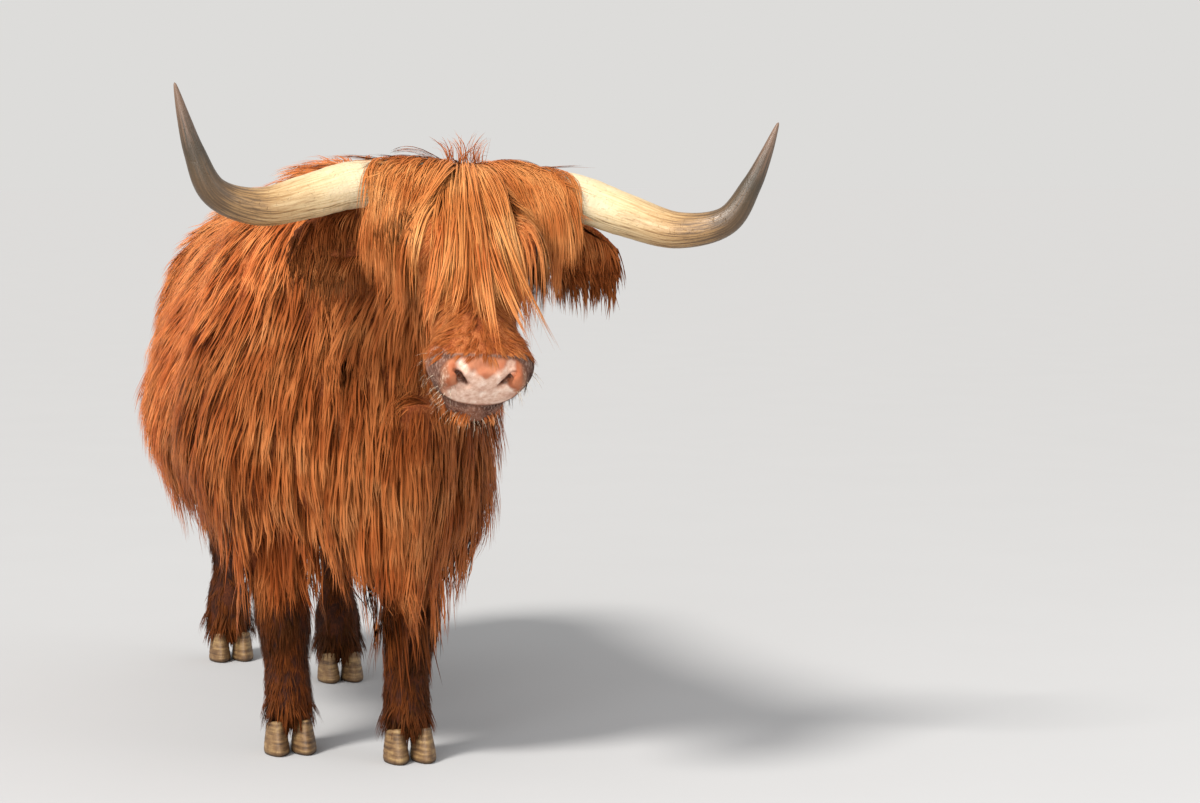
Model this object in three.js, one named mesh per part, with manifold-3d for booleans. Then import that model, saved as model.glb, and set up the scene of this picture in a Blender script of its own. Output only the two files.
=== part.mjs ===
// A highland cow, standing still, life size: the outer form of its coat, parted into named solids.
// Millimetres, +Z up. The cow faces -Y, its left side is +X, and its soles lie on the floor.
// Most forms are fields: functions that are negative inside, zero on the coat's surface and positive
// outside. Fields blend smoothly, as flesh does, and one routine turns a field into a closed mesh.
import * as THREE from "three";
import { mergeVertices } from "three/addons/utils/BufferGeometryUtils.js";
import Module from "manifold-3d";

const wasm = await Module();
wasm.setup();

// ---- Driving dimensions ----------------------------------------------------------------------
const WITHERS = { y: -400, z: 1212 }; // the highest point of the back, over the shoulders
const RUMP_END = 735; // the back of the buttocks
const TAIL_HEAD = { y: 668, z: 1118 };
const POLL = [170, -900, 1156]; // the middle of the line that joins the two horn cores
const HEAD_PITCH = 52; // degrees, the slope of the face below level
const HEAD_YAW = -1.5; // degrees towards the cow's left
const HEAD_ROLL = 3.4; // degrees, its left horn lowered
const EYE_RADIUS = 20;
const HORN_RADIUS = 42.5; // at the base
// Where each foot stands: from the mid-plane, and along the cow.
const FEET = {
  foreleg_right: { side: -1, x: 110, y: -440 },
  foreleg_left: { side: 1, x: 112, y: -585 },
  hindleg_right: { side: -1, x: 78, y: 705 },
  hindleg_left: { side: 1, x: 132, y: 355 },
};
const CORONET = { z: 58, slope: 0.28 }; // the top of the hooves, higher at the toe than at the heel
const GAP = 0.6; // clear space left by a parting cut
const CELL = { body: 88, neck: 62, head: 33, muzzle: 20, jaw: 28, leg: 44, ear: 28, udder: 40 };

// ---- Small tools -----------------------------------------------------------------------------
const rad = THREE.MathUtils.degToRad;
const clamp = THREE.MathUtils.clamp;
const vec = (p) => new THREE.Vector3(...p);

// A smooth curve that never overshoots through [position, value] pairs, held level past its ends.
function profile(points) {
  const at = points.map((p) => p[0]);
  const value = points.map((p) => p[1]);
  const last = points.length - 1;
  const rise = at.slice(1).map((x, i) => (value[i + 1] - value[i]) / (x - at[i]));
  const slope = value.map((_, i) => {
    if (i === 0 || i === last || rise[i - 1] * rise[i] <= 0) return 0;
    return (2 * rise[i - 1] * rise[i]) / (rise[i - 1] + rise[i]);
  });
  return (x) => {
    if (x <= at[0]) return value[0];
    if (x >= at[last]) return value[last];
    const i = at.findIndex((_, k) => x < at[k + 1]);
    const span = at[i + 1] - at[i];
    const t = (x - at[i]) / span;
    const back = 1 - t;
    return (
      value[i] * (1 + 2 * t) * back * back +
      value[i + 1] * (1 + 2 * back) * t * t +
      span * t * back * (slope[i] * back - slope[i + 1] * t)
    );
  };
}

const rise01 = (x) => {
  const t = clamp(x, 0, 1);
  return t * t * (3 - 2 * t);
};

// ---- Fields ----------------------------------------------------------------------------------
// Joins two fields, with a fillet of about this reach.
const join = (reach, a, b) => (p) => {
  const u = a(p);
  const v = b(p);
  const h = Math.max(reach - Math.abs(u - v), 0) / reach;
  return Math.min(u, v) - (h * h * reach) / 4;
};
const joinAll = (reach, fields) => fields.reduce((a, b) => join(reach, a, b));
// Takes b out of a, or keeps only what is in both, with a rounded edge.
const common = (reach, a, b) => {
  const outside = join(reach, (p) => -a(p), (p) => -b(p));
  return (p) => -outside(p);
};
const carve = (reach, a, b) => common(reach, a, (p) => -b(p));
const mirrored = (field) => (p) => field([-p[0], p[1], p[2]]);
const both = (field) => (p) => field([Math.abs(p[0]), p[1], p[2]]);

// A rounded mass with three radii, turned about X, Y and Z by degrees.
function mass(center, radii, turn = [0, 0, 0]) {
  const back = new THREE.Matrix4().makeRotationFromEuler(new THREE.Euler(...turn.map(rad))).transpose();
  const q = new THREE.Vector3();
  return (p) => {
    q.set(p[0] - center[0], p[1] - center[1], p[2] - center[2]).applyMatrix4(back);
    const k = Math.hypot(q.x / radii[0], q.y / radii[1], q.z / radii[2]);
    const g = Math.hypot(q.x / radii[0] ** 2, q.y / radii[1] ** 2, q.z / radii[2] ** 2);
    return g < 1e-9 ? -Math.min(...radii) : (k * (k - 1)) / g;
  };
}

// A round bar from a to b, with its radius at each end.
function bar(a, b, ra, rb) {
  const d = b.map((v, i) => v - a[i]);
  const length2 = d[0] ** 2 + d[1] ** 2 + d[2] ** 2;
  return (p) => {
    const w = [p[0] - a[0], p[1] - a[1], p[2] - a[2]];
    const t = clamp((w[0] * d[0] + w[1] * d[1] + w[2] * d[2]) / length2, 0, 1);
    return Math.hypot(w[0] - t * d[0], w[1] - t * d[1], w[2] - t * d[2]) - (ra + (rb - ra) * t);
  };
}

// A chain of bars through joints, each { at, r }.
const chain = (reach, joints) =>
  joinAll(reach, joints.slice(1).map((j, i) => bar(joints[i].at, j.at, joints[i].r, j.r)));

const plane = (normal, point) => {
  const n = vec(normal).normalize();
  const d = n.dot(vec(point));
  return (p) => n.x * p[0] + n.y * p[1] + n.z * p[2] - d;
};

// A form swept along one axis. Each section is widest at a share of its height, and its outline above
// and below that line is a rounded curve, squarer for a higher power.
function sweep({ along, across, up, middle = () => 0, top, bottom, half, widest = 0.5, power }) {
  return (p) => {
    const s = p[along];
    const line = bottom(s) + (top(s) - bottom(s)) * widest;
    const high = p[up] > line;
    const b = Math.max(high ? top(s) - line : line - bottom(s), 1);
    const e = high ? power[0] : power[1];
    const u = Math.abs(p[across] - middle(s)) / half(s);
    const v = Math.abs(p[up] - line) / b;
    const q = Math.max((u ** e + v ** e) ** (1 / e), 1e-6);
    const far = Math.hypot(u * half(s), v * b);
    return q < 0.05 ? -Math.min(half(s), b) : far * (1 - 1 / q);
  };
}

// ---- Meshes and solids -----------------------------------------------------------------------
// Turns a field into a closed mesh: one vertex in each cell that the surface crosses, moved onto the
// surface, and one pair of triangles for each grid edge that it crosses.
function meshOf(field, low, high, cell) {
  const count = low.map((v, i) => Math.ceil((high[i] - v) / cell) + 1);
  const [nx, ny, nz] = count;
  const index = (i, j, k) => i + nx * (j + ny * k);
  const place = (i, j, k) => [low[0] + i * cell, low[1] + j * cell, low[2] + k * cell];
  const value = new Float64Array(nx * ny * nz);
  for (let k = 0; k < nz; k++)
    for (let j = 0; j < ny; j++)
      for (let i = 0; i < nx; i++) {
        const rim = [i, j, k].some((v, a) => v === 0 || v === count[a] - 1);
        value[index(i, j, k)] = rim ? cell : field(place(i, j, k));
      }
  const corners = [0, 1, 2, 3, 4, 5, 6, 7].map((c) => [c & 1, (c >> 1) & 1, c >> 2]);
  const edges = [];
  for (let a = 0; a < 8; a++)
    for (const bit of [1, 2, 4]) if (!(a & bit)) edges.push([a, a | bit]);
  const vertexOf = new Map();
  const points = [];
  for (let k = 0; k < nz - 1; k++)
    for (let j = 0; j < ny - 1; j++)
      for (let i = 0; i < nx - 1; i++) {
        const v = corners.map(([x, y, z]) => value[index(i + x, j + y, k + z)]);
        const crossed = edges.filter(([a, b]) => v[a] < 0 !== v[b] < 0);
        if (!crossed.length) continue;
        const sum = [0, 0, 0];
        for (const [a, b] of crossed) {
          const t = v[a] / (v[a] - v[b]);
          corners[a].forEach((c, x) => (sum[x] += (c + t * (corners[b][x] - c)) / crossed.length));
        }
        vertexOf.set(index(i, j, k), points.length);
        points.push(onSurface(field, place(i + sum[0], j + sum[1], k + sum[2]), cell));
      }
  const faces = [];
  const steps = [[1, 0, 0], [0, 1, 0], [0, 0, 1]];
  for (let k = 0; k < nz - 1; k++)
    for (let j = 0; j < ny - 1; j++)
      for (let i = 0; i < nx - 1; i++)
        steps.forEach(([x, y, z], axis) => {
          const inside = value[index(i, j, k)] < 0;
          if (inside === value[index(i + x, j + y, k + z)] < 0) return;
          const [s, t] = [steps[(axis + 1) % 3], steps[(axis + 2) % 3]];
          const ring = [[0, 0], [1, 0], [1, 1], [0, 1]].map(([m, n]) =>
            vertexOf.get(index(i - m * s[0] - n * t[0], j - m * s[1] - n * t[1], k - m * s[2] - n * t[2])),
          );
          if (!inside) ring.reverse();
          faces.push(...shorterSplit(points, ring));
        });
  return { points, faces };
}

// Moves a point onto the field's zero surface, but no further than half a cell.
function onSurface(field, start, cell) {
  const p = [...start];
  const e = cell * 0.02;
  for (let step = 0; step < 4; step++) {
    const f = field(p);
    const g = [0, 1, 2].map((a) => {
      const ahead = [...p];
      ahead[a] += e;
      return (field(ahead) - f) / e;
    });
    const size = g[0] ** 2 + g[1] ** 2 + g[2] ** 2;
    if (size < 1e-8) break;
    g.forEach((v, a) => (p[a] = clamp(p[a] - (f * v) / size, start[a] - cell / 2, start[a] + cell / 2)));
  }
  return p;
}

// Two triangles for a four-cornered face, split along its shorter diagonal.
function shorterSplit(points, [a, b, c, d]) {
  const far = (m, n) => vec(points[m]).distanceTo(vec(points[n]));
  return far(a, c) <= far(b, d) ? [[a, b, c], [a, c, d]] : [[a, b, d], [b, c, d]];
}

// A closed mesh through rings of points, each ring going anticlockwise about the way of travel.
function loft(rings) {
  const n = rings[0].length;
  const points = rings.flat();
  const middle = (ring) => [0, 1, 2].map((a) => ring.reduce((sum, p) => sum + p[a] / n, 0));
  const first = points.push(middle(rings[0])) - 1;
  const last = points.push(middle(rings.at(-1))) - 1;
  const faces = [];
  for (let i = 0; i < n; i++) {
    const j = (i + 1) % n;
    faces.push([first, j, i]);
    const end = (rings.length - 1) * n;
    faces.push([last, end + i, end + j]);
    for (let r = 0; r < rings.length - 1; r++) {
      const [a, b] = [r * n, (r + 1) * n];
      faces.push([a + i, a + j, b + j], [a + i, b + j, b + i]);
    }
  }
  return { points, faces };
}

// A round tube along a curve, with a radius for each share of its length.
function tube(curve, radius, rings, sides) {
  const frames = curve.computeFrenetFrames(rings - 1);
  return loft(
    Array.from({ length: rings }, (_, r) => {
      const s = r / (rings - 1);
      const at = curve.getPointAt(s);
      return Array.from({ length: sides }, (_, i) => {
        const a = (2 * Math.PI * i) / sides;
        return at
          .clone()
          .addScaledVector(frames.normals[r], Math.cos(a) * radius(s))
          .addScaledVector(frames.binormals[r], Math.sin(a) * radius(s))
          .toArray();
      });
    }),
  );
}

const solid = ({ points, faces }) =>
  new wasm.Manifold(
    new wasm.Mesh({
      numProp: 3,
      vertProperties: new Float32Array(points.flat()),
      triVerts: new Uint32Array(faces.flat()),
    }),
  );
const grown = (field, low, high, cell) => solid(meshOf(field, low, high, cell));

// A three.js geometry as a solid, with the vertices that its faces share merged.
function solidOf(geometry) {
  const bare = geometry.clone();
  bare.deleteAttribute("normal");
  bare.deleteAttribute("uv");
  const merged = mergeVertices(bare, 1e-3);
  return new wasm.Manifold(
    new wasm.Mesh({
      numProp: 3,
      vertProperties: merged.attributes.position.array,
      triVerts: new Uint32Array(merged.index.array),
    }),
  );
}

// The same solid with its surface moved outwards, which leaves a neighbour cut by it a clear gap.
function swollen(body, by) {
  const mesh = body.getMesh();
  const geometry = new THREE.BufferGeometry()
    .setAttribute("position", new THREE.BufferAttribute(new Float32Array(mesh.vertProperties), 3))
    .setIndex(new THREE.BufferAttribute(mesh.triVerts, 1));
  geometry.computeVertexNormals();
  const { position, normal } = geometry.attributes;
  const moved = Float32Array.from(position.array, (v, i) => v + by * normal.array[i]);
  return new wasm.Manifold(new wasm.Mesh({ numProp: 3, vertProperties: moved, triVerts: mesh.triVerts }));
}

const largest = (body) => body.decompose().sort((a, b) => b.volume() - a.volume())[0];

// What is left of a solid when its neighbours' swollen shapes are cut from it.
const clearOf = (body, neighbours, by = 1.2) =>
  largest(neighbours.reduce((rest, n) => rest.subtract(n.add(swollen(n, by))), body));

// The part of a solid on the side of a plane that its normal points to, less half the gap.
function sideOf(body, normal, point, gap = GAP) {
  const n = vec(normal).normalize();
  return largest(body.trimByPlane(n.toArray(), n.dot(vec(point)) + gap / 2));
}
const against = (normal) => normal.map((v) => -v);

// ---- Head frame ------------------------------------------------------------------------------
// Level axes turn with the head's yaw and roll only: [left, forwards, up], for horns and ears.
// Face axes also follow its slope: [left, out of the forehead, down the face].
const levelTurn = new THREE.Matrix4()
  .makeRotationZ(rad(HEAD_YAW))
  .multiply(new THREE.Matrix4().makeRotationY(rad(HEAD_ROLL)));
const levelToWorld = ([l, f, u]) => vec([l, -f, u]).applyMatrix4(levelTurn).add(vec(POLL)).toArray();
const [slopeSin, slopeCos] = [Math.sin(rad(HEAD_PITCH)), Math.cos(rad(HEAD_PITCH))];
const faceToLevel = ([l, n, t]) => [l, n * slopeSin + t * slopeCos, n * slopeCos - t * slopeSin];
const faceToWorld = (p) => levelToWorld(faceToLevel(p));
const faceDirection = (d) => vec(faceToWorld(d)).sub(vec(POLL)).toArray();
const levelBack = levelTurn.clone().transpose();
const faceOf = (p) => {
  const q = vec([p[0] - POLL[0], p[1] - POLL[1], p[2] - POLL[2]]).applyMatrix4(levelBack);
  return [q.x, -q.y * slopeSin + q.z * slopeCos, -q.y * slopeCos - q.z * slopeSin];
};
const levelOf = (p) => {
  const q = vec([p[0] - POLL[0], p[1] - POLL[1], p[2] - POLL[2]]).applyMatrix4(levelBack);
  return [q.x, -q.y, q.z];
};
const onFace = (field) => (p) => field(faceOf(p));
const onLevel = (field) => (p) => field(levelOf(p));

// ---- Trunk and neck --------------------------------------------------------------------------
// The neck carries the head to the cow's left: how far the middle of the body has moved at y.
const neckBend = (y) => (POLL[0] * rise01((-430 - y) / 520)) / rise01((-430 - POLL[1]) / 520);

const barrel = sweep({
  along: 1,
  across: 0,
  up: 2,
  top: profile([[-700, 1190], [-560, 1206], [WITHERS.y, WITHERS.z], [-180, 1172], [100, 1150], [400, 1166],
    [560, 1152], [RUMP_END, 1060]]),
  bottom: profile([[-700, 520], [-600, 455], [-420, 440], [-100, 425], [200, 432], [420, 490], [600, 600],
    [RUMP_END, 680]]),
  half: profile([[-700, 200], [-600, 265], [-480, 312], [-300, 345], [-40, 372], [200, 350], [430, 300],
    [600, 268], [RUMP_END, 215]]),
  widest: 0.31,
  power: [1.75, 2.4],
});
const front = plane([0, -1, 0.1], [0, -700, 800]);
const back = plane([0, 1, 0.1], [0, RUMP_END, 860]);
const cask = common(150, common(190, barrel, back), front);

const nape = sweep({
  along: 1,
  across: 0,
  up: 2,
  middle: neckBend,
  top: profile([[-1000, 1120], [-900, 1190], [-760, 1203], [-560, 1206], [WITHERS.y, WITHERS.z - 8]]),
  bottom: profile([[-1000, 950], [-900, 850], [-800, 720], [-700, 610], [-600, 560], [-400, 560]]),
  half: profile([[-1000, 80], [-900, 140], [-800, 172], [-700, 205], [-600, 245], [-450, 285]]),
  widest: 0.42,
  power: [2, 2.2],
});
const neckFront = plane([0, -1, 0], [0, -985, 0]);
const neckBack = plane([0, 1, 0], [0, -380, 0]);
const neckForm = common(120, common(100, nape, neckFront), neckBack);

const shoulder = mass([182, -465, 690], [160, 190, 280], [6, 0, 0]);
const thigh = mass([160, 535, 760], [135, 200, 290], [8, 0, 0]);
const brisket = mass([60, -640, 590], [205, 130, 200], [14, 0, 0]);
const dewlap = mass([88, -765, 700], [92, 112, 265], [20, 0, 0]);
const elbowHair = mass([205, -505, 500], [125, 140, 135]);
const breastHair = mass([60, -668, 440], [84, 92, 180], [8, 0, 0]);

const torso = joinAll(70, [
  joinAll(60, [join(110, cask, neckForm), both(shoulder), both(thigh)]),
  elbowHair,
  brisket,
  dewlap,
  breastHair,
]);

// ---- Legs ------------------------------------------------------------------------------------
const hoofMiddle = (y) => y - 22;

// The upper ends lie inside the trunk, which is cut from them. Radii are those of the coat.
function foreleg({ side, x: out, y }) {
  const x = side * out;
  return chain(45, [
    { at: [side * 195, -420, 700], r: 125 },
    { at: [side * 165, (y - 420) / 2, 520], r: 100 },
    { at: [x * 1.12, y + 8, 335], r: 66 },
    { at: [x * 1.06, y + 4, 262], r: 60 },
    { at: [x * 1.02, y + 4, 225], r: 46 },
    { at: [x, y + 8, 150], r: 45 },
    { at: [x, y + 2, 108], r: 54 },
    { at: [x, y - 14, 62], r: 50 },
  ]);
}

function hindleg({ side, x: out, y }) {
  const x = side * out;
  const hock = y + 44;
  const thighY = 470 + (y - 470) * 0.3;
  return chain(60, [
    { at: [side * 150, 500, 760], r: 125 },
    { at: [side * 160, thighY, 650], r: 140 },
    { at: [side * 112 + x * 0.3, thighY + (hock - thighY) * 0.62, 520], r: 98 },
    { at: [x * 1.1, hock, 412], r: 64 },
    { at: [x * 1.03, hock - 14, 300], r: 50 },
    { at: [x, y + 20, 150], r: 46 },
    { at: [x, y + 8, 108], r: 55 },
    { at: [x, y - 12, 62], r: 50 },
  ]);
}

// One claw of a cloven hoof: a flat sole, a sloping toe and a rounded outer wall.
function claw({ side, x, y }, which) {
  const middle = [side * x + which * 28, hoofMiddle(y)];
  const rings = [
    { z: 0, long: 57, wide: 25.5, back: 0 },
    { z: 9, long: 56, wide: 26, back: 1 },
    { z: CORONET.z - GAP, long: 44, wide: 22, back: 14, slope: CORONET.slope },
  ];
  return loft(
    rings.map(({ z, long, wide, back, slope = 0 }) =>
      Array.from({ length: 10 }, (_, i) => {
        const a = (2 * Math.PI * i) / 10;
        const toe = Math.sin(a) < 0 ? 1 : 0.82;
        const narrow = 1 - 0.22 * Math.max(-Math.sin(a), 0);
        const along = back + Math.sin(a) * long * toe;
        return [middle[0] + Math.cos(a) * wide * narrow, middle[1] + along, z - slope * along];
      }),
    ),
  );
}

// ---- Head ------------------------------------------------------------------------------------
const skull = sweep({
  along: 2,
  across: 0,
  up: 1,
  top: profile([[-95, 5], [-60, 52], [0, 76], [90, 80], [170, 68], [250, 52], [330, 44], [430, 40]]),
  bottom: profile([[-95, -110], [0, -130], [150, -125], [300, -95], [430, -78]]),
  half: profile([[-95, 70], [-30, 104], [60, 112], [140, 122], [200, 106], [270, 82], [340, 80], [430, 84]]),
  power: [2.3, 2.3],
});
const mandible = sweep({
  along: 2,
  across: 0,
  up: 1,
  top: () => -20,
  bottom: profile([[-60, -120], [20, -188], [100, -212], [190, -196], [280, -160], [360, -132], [420, -118]]),
  half: profile([[-60, 60], [40, 92], [120, 92], [220, 76], [320, 60], [420, 54]]),
  power: [2.2, 2.2],
});
const muzzleMass = mass([0, -16, 388], [98, 58, 68]);
const chin = mass([0, -100, 412], [62, 48, 52]);
const brow = both(mass([88, 50, 122], [44, 34, 46]));
const cheek = both(mass([62, -90, 150], [50, 80, 110]));

// The long fringe that falls from the poll over the horn bases, the forehead and the eyes.
const fringe = common(
  30,
  joinAll(40, [
    mass([0, 40, 20], [212, 92, 112]),
    mass([0, 66, 130], [138, 52, 150]),
    mass([0, 62, 226], [58, 34, 102]),
  ]),
  plane([0, -0.3, -1], [0, 0, -98]),
);

const socket = both(mass([128, 22, 150], [30, 22, 27], [0, 0, 12]));
const crown = common(60, skull, plane([0, 0, -1], [0, 0, -92]));
const jaw = common(60, mandible, plane([0, 0, -1], [0, 0, -50]));
const faceEnd = plane([0, 0.36, 1], [0, 0, 428]);
const jawEnd = plane([0, -0.25, 1], [0, -60, 430]);
const noseEnd = plane([0, 0.42, 1], [0, 0, 443]);
const bones = [common(60, crown, faceEnd), common(50, jaw, jawEnd)];
const flesh = joinAll(38, [...bones, muzzleMass, chin, brow, cheek]);
const headField = carve(12, join(34, common(26, flesh, noseEnd), fringe), socket);
const cow = join(90, torso, onFace(headField));

// The parting cuts. Two planes hold the head: one behind the ears, and one under the jaw, which leaves
// the dewlap to the neck.
const NECK_CUT = { normal: faceDirection([0, 0.62, 1]), point: faceToWorld([0, 0, -66]) };
const THROAT_CUT = { normal: faceDirection([0, 1, -0.2]), point: faceToWorld([0, -224, 90]) };
const SHOULDER_CUT = { normal: [0.16, -1, 0.28], point: [0, -570, 1200] };
const MUZZLE_CUT = { normal: faceDirection([0, 0.22, 1]), point: faceToWorld([0, 0, 338]) };
const MOUTH_CUT = { normal: faceDirection([0, 1, 0.1]), point: faceToWorld([0, -64, 400]) };
const FORELOCK_CUT = { normal: faceDirection([0, 1, 0.08]), point: faceToWorld([0, 74, 0]) };

const bodyBox = [[-480, -1090, 120], [480, 900, 1360]];
const neckBox = [[-480, -1200, 120], [480, -460, 1360]];
const headBox = [[-120, -1420, 600], [460, -740, 1360]];
const inFront = (body, cut, gap) => sideOf(body, cut.normal, cut.point, gap);
const behind = (body, cut, gap) => sideOf(body, against(cut.normal), cut.point, gap);
const headOf = (body, gap) => inFront(inFront(body, NECK_CUT, gap), THROAT_CUT, gap);

const trunk = behind(grown(torso, ...bodyBox, CELL.body), SHOULDER_CUT);
const wholeNeck = inFront(grown(cow, ...neckBox, CELL.neck), SHOULDER_CUT);
const everything = solidOf(new THREE.BoxGeometry(4000, 4000, 4000));
const neck = largest(wholeNeck.subtract(headOf(everything, -GAP)));
const wholeHead = headOf(grown(cow, ...headBox, CELL.head));
const wholeMuzzle = headOf(grown(cow, ...headBox, CELL.muzzle));
const wholeJaw = headOf(grown(cow, ...headBox, CELL.jaw));

// Eyes: balls in sockets that open forwards and outwards.
const EYE_AT = [105, 24, 150];
const eyeballs = [1, -1].map((side) => {
  const ball = new THREE.SphereGeometry(EYE_RADIUS, 12, 9);
  ball.translate(...faceToWorld([side * EYE_AT[0], EYE_AT[1], EYE_AT[2]]));
  return solidOf(ball);
});

// Nostrils: slanting hollows either side of the bare nose.
const nostrils = [1, -1].map((side) => {
  const hollow = new THREE.SphereGeometry(1, 10, 8).scale(10, 17, 30);
  hollow.rotateZ(rad(side * 38));
  hollow.rotateX(rad(-20));
  hollow.applyMatrix4(
    new THREE.Matrix4().makeBasis(
      vec(faceDirection([1, 0, 0])),
      vec(faceDirection([0, 1, 0])),
      vec(faceDirection([0, 0, 1])),
    ),
  );
  hollow.translate(...faceToWorld([side * 45, 2, 438]));
  const made = solidOf(hollow);
  return made.volume() < 0 ? solidOf(hollow.scale(-1, 1, 1)) : made;
});

const headAndFringe = behind(wholeHead, MUZZLE_CUT);
const head = clearOf(behind(headAndFringe, FORELOCK_CUT), eyeballs, GAP);
const forelock = clearOf(inFront(headAndFringe, FORELOCK_CUT), eyeballs, GAP);
const muzzle = clearOf(inFront(inFront(wholeMuzzle, MUZZLE_CUT), MOUTH_CUT), nostrils, 0);
const lowerJaw = behind(inFront(wholeJaw, MUZZLE_CUT), MOUTH_CUT);

// ---- Horns -----------------------------------------------------------------------------------
// Out and a little forwards and down, then up to the tip: [out, forwards, up] from the poll.
const HORN_PATH = [[70, -6, 10], [215, 0, 0], [305, 28, -27], [405, 68, -51], [490, 104, -27],
  [530, 120, 42], [552, 128, 100], [572, 132, 163]];
const HORN_HIDDEN = 0.2; // share of the path that lies in the head and the forelock
function horn(side) {
  const path = HORN_PATH.map(([l, f, u]) => vec(levelToWorld([side * l, f, u])));
  const radius = (s) => {
    const shown = clamp((s - HORN_HIDDEN) / (1 - HORN_HIDDEN), 0, 1);
    return HORN_RADIUS * Math.max(1 - shown ** 1.5, 0) ** 0.85 + 2.5;
  };
  return solid(tube(new THREE.CatmullRomCurve3(path, false, "centripetal"), radius, 19, 12));
}
const horns = [1, -1].map((side) => clearOf(horn(side), [head, forelock, neck]));

// ---- Ears ------------------------------------------------------------------------------------
// Held out level below the horns, with a fringe of long hair under them and past the tip.
const earField = joinAll(26, [
  bar([110, -40, -62], [215, -48, -80], 30, 42),
  mass([262, -48, -94], [100, 30, 46], [0, 10, 0]),
  mass([250, -46, -126], [72, 26, 60], [0, 14, 0]),
]);
const earBox = [[-420, -1100, 860], [660, -700, 1300]];
const ears = [1, -1].map((side) => {
  const whole = grown(onLevel(side > 0 ? earField : mirrored(earField)), ...earBox, CELL.ear);
  return clearOf(whole, [head, neck, forelock, ...horns]);
});

// ---- Tail and udder --------------------------------------------------------------------------
const tailCurve = new THREE.CatmullRomCurve3(
  [[0, TAIL_HEAD.y - 110, 1078], [0, TAIL_HEAD.y - 2, 1080], [6, 728, 1012], [18, 758, 880], [40, 764, 660],
    [50, 758, 440], [50, 752, 250]].map(vec),
  false,
  "centripetal",
);
const tailRadius = profile([[0, 44], [0.2, 42], [0.5, 37], [0.62, 44], [0.78, 62], [0.9, 50], [1, 10]]);
const wholeTail = clearOf(solid(tube(tailCurve, tailRadius, 15, 9)), [trunk]);
const TAIL_CUT = { normal: [0, 0, -1], point: [0, 780, 620] };
const udderField = joinAll(24, [
  mass([10, 400, 510], [62, 100, 84]),
  ...[-1, 1].flatMap((side) =>
    [355, 430].map((y) => bar([10 + side * 32, y, 470], [10 + side * 36, y - 4, 400], 19, 13)),
  ),
]);

// ---- The cow ---------------------------------------------------------------------------------
const legs = Object.fromEntries(
  Object.entries(FEET).map(([name, foot]) => {
    const fore = name.startsWith("fore");
    const field = fore ? foreleg(foot) : hindleg(foot);
    const low = [foot.side > 0 ? -40 : -400, fore ? -800 : 130, 0];
    const high = [foot.side > 0 ? 400 : 40, fore ? -200 : 930, fore ? 860 : 960];
    const hoofTop = { normal: [0, CORONET.slope, 1], point: [0, hoofMiddle(foot.y), CORONET.z] };
    return [name, clearOf(inFront(grown(field, low, high, CELL.leg), hoofTop), [trunk, neck])];
  }),
);
const udder = clearOf(grown(udderField, [-160, 260, 330], [160, 580, 660], CELL.udder), [
  trunk,
  legs.hindleg_left,
  legs.hindleg_right,
]);

const RED = 0xa4562a;
const coat = (color = RED) => new THREE.MeshStandardMaterial({ color, roughness: 0.85, metalness: 0 });
const skin = (color) => new THREE.MeshStandardMaterial({ color, roughness: 0.55, metalness: 0 });
const hornLook = new THREE.MeshStandardMaterial({ color: 0xd9c6a0, roughness: 0.45, metalness: 0 });
const hoofLook = new THREE.MeshStandardMaterial({ color: 0x6b5540, roughness: 0.6, metalness: 0 });
const eyeLook = new THREE.MeshStandardMaterial({ color: 0x1c120c, roughness: 0.1, metalness: 0 });

const pieces = [
  ["trunk", trunk, coat()],
  ["neck", neck, coat()],
  ["head", head, coat()],
  ["muzzle", muzzle, skin(0xc99a8c)],
  ["lower_jaw", lowerJaw, coat(0x8a4526)],
  ["forelock", forelock, coat(0xc07a3e)],
  ["eye_left", eyeballs[0], eyeLook],
  ["eye_right", eyeballs[1], eyeLook],
  ["horn_left", horns[0], hornLook],
  ["horn_right", horns[1], hornLook],
  ["ear_left", ears[0], coat(0x96482a)],
  ["ear_right", ears[1], coat(0x96482a)],
  ...Object.entries(legs).map(([name, leg]) => [name, leg, coat(0x8d4727)]),
  ...Object.entries(FEET).flatMap(([name, foot]) =>
    [["inner", -1], ["outer", 1]].map(([word, way]) => [
      `hoof_${name.replace("leg", "")}_${word}`,
      solid(claw(foot, way * foot.side)),
      hoofLook,
    ]),
  ),
  ["tail", behind(wholeTail, TAIL_CUT), coat()],
  ["tail_switch", inFront(wholeTail, TAIL_CUT), coat(0xa85f30)],
  ["udder", udder, skin(0xc08a72)],
];

// A solid as a named three.js mesh.
function meshNamed(name, body, material) {
  const mesh = body.getMesh();
  const geometry = new THREE.BufferGeometry()
    .setAttribute("position", new THREE.BufferAttribute(new Float32Array(mesh.vertProperties), 3))
    .setIndex(new THREE.BufferAttribute(new Uint32Array(mesh.triVerts), 1));
  geometry.computeVertexNormals();
  const made = new THREE.Mesh(geometry, material);
  made.name = name;
  return made;
}

const root = new THREE.Group();
root.add(...pieces.map(([name, body, material]) => meshNamed(name, body, material)));

// The origin is on the floor, under the middle of the cow's outer box.
const box = new THREE.Box3().setFromObject(root);
root.position.set(-(box.min.x + box.max.x) / 2, -(box.min.y + box.max.y) / 2, -box.min.z);

export default root;
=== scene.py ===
"""A highland cow as a still, life-size museum model.

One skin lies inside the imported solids, and locks of hair made as mesh cover it. Horns, claws and eyes are
finished pieces of their own. Everything is in metres, apart from the head's own forms, which are shaped in
millimetres in a frame that runs down the face.
"""

from __future__ import annotations

import logging
import math
from dataclasses import dataclass, field, replace
from enum import Enum
from typing import Callable, Sequence

import bmesh
import bpy
import numpy as np
from mathutils import Matrix, Vector
from mathutils.bvhtree import BVHTree
from mathutils.kdtree import KDTree


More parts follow.
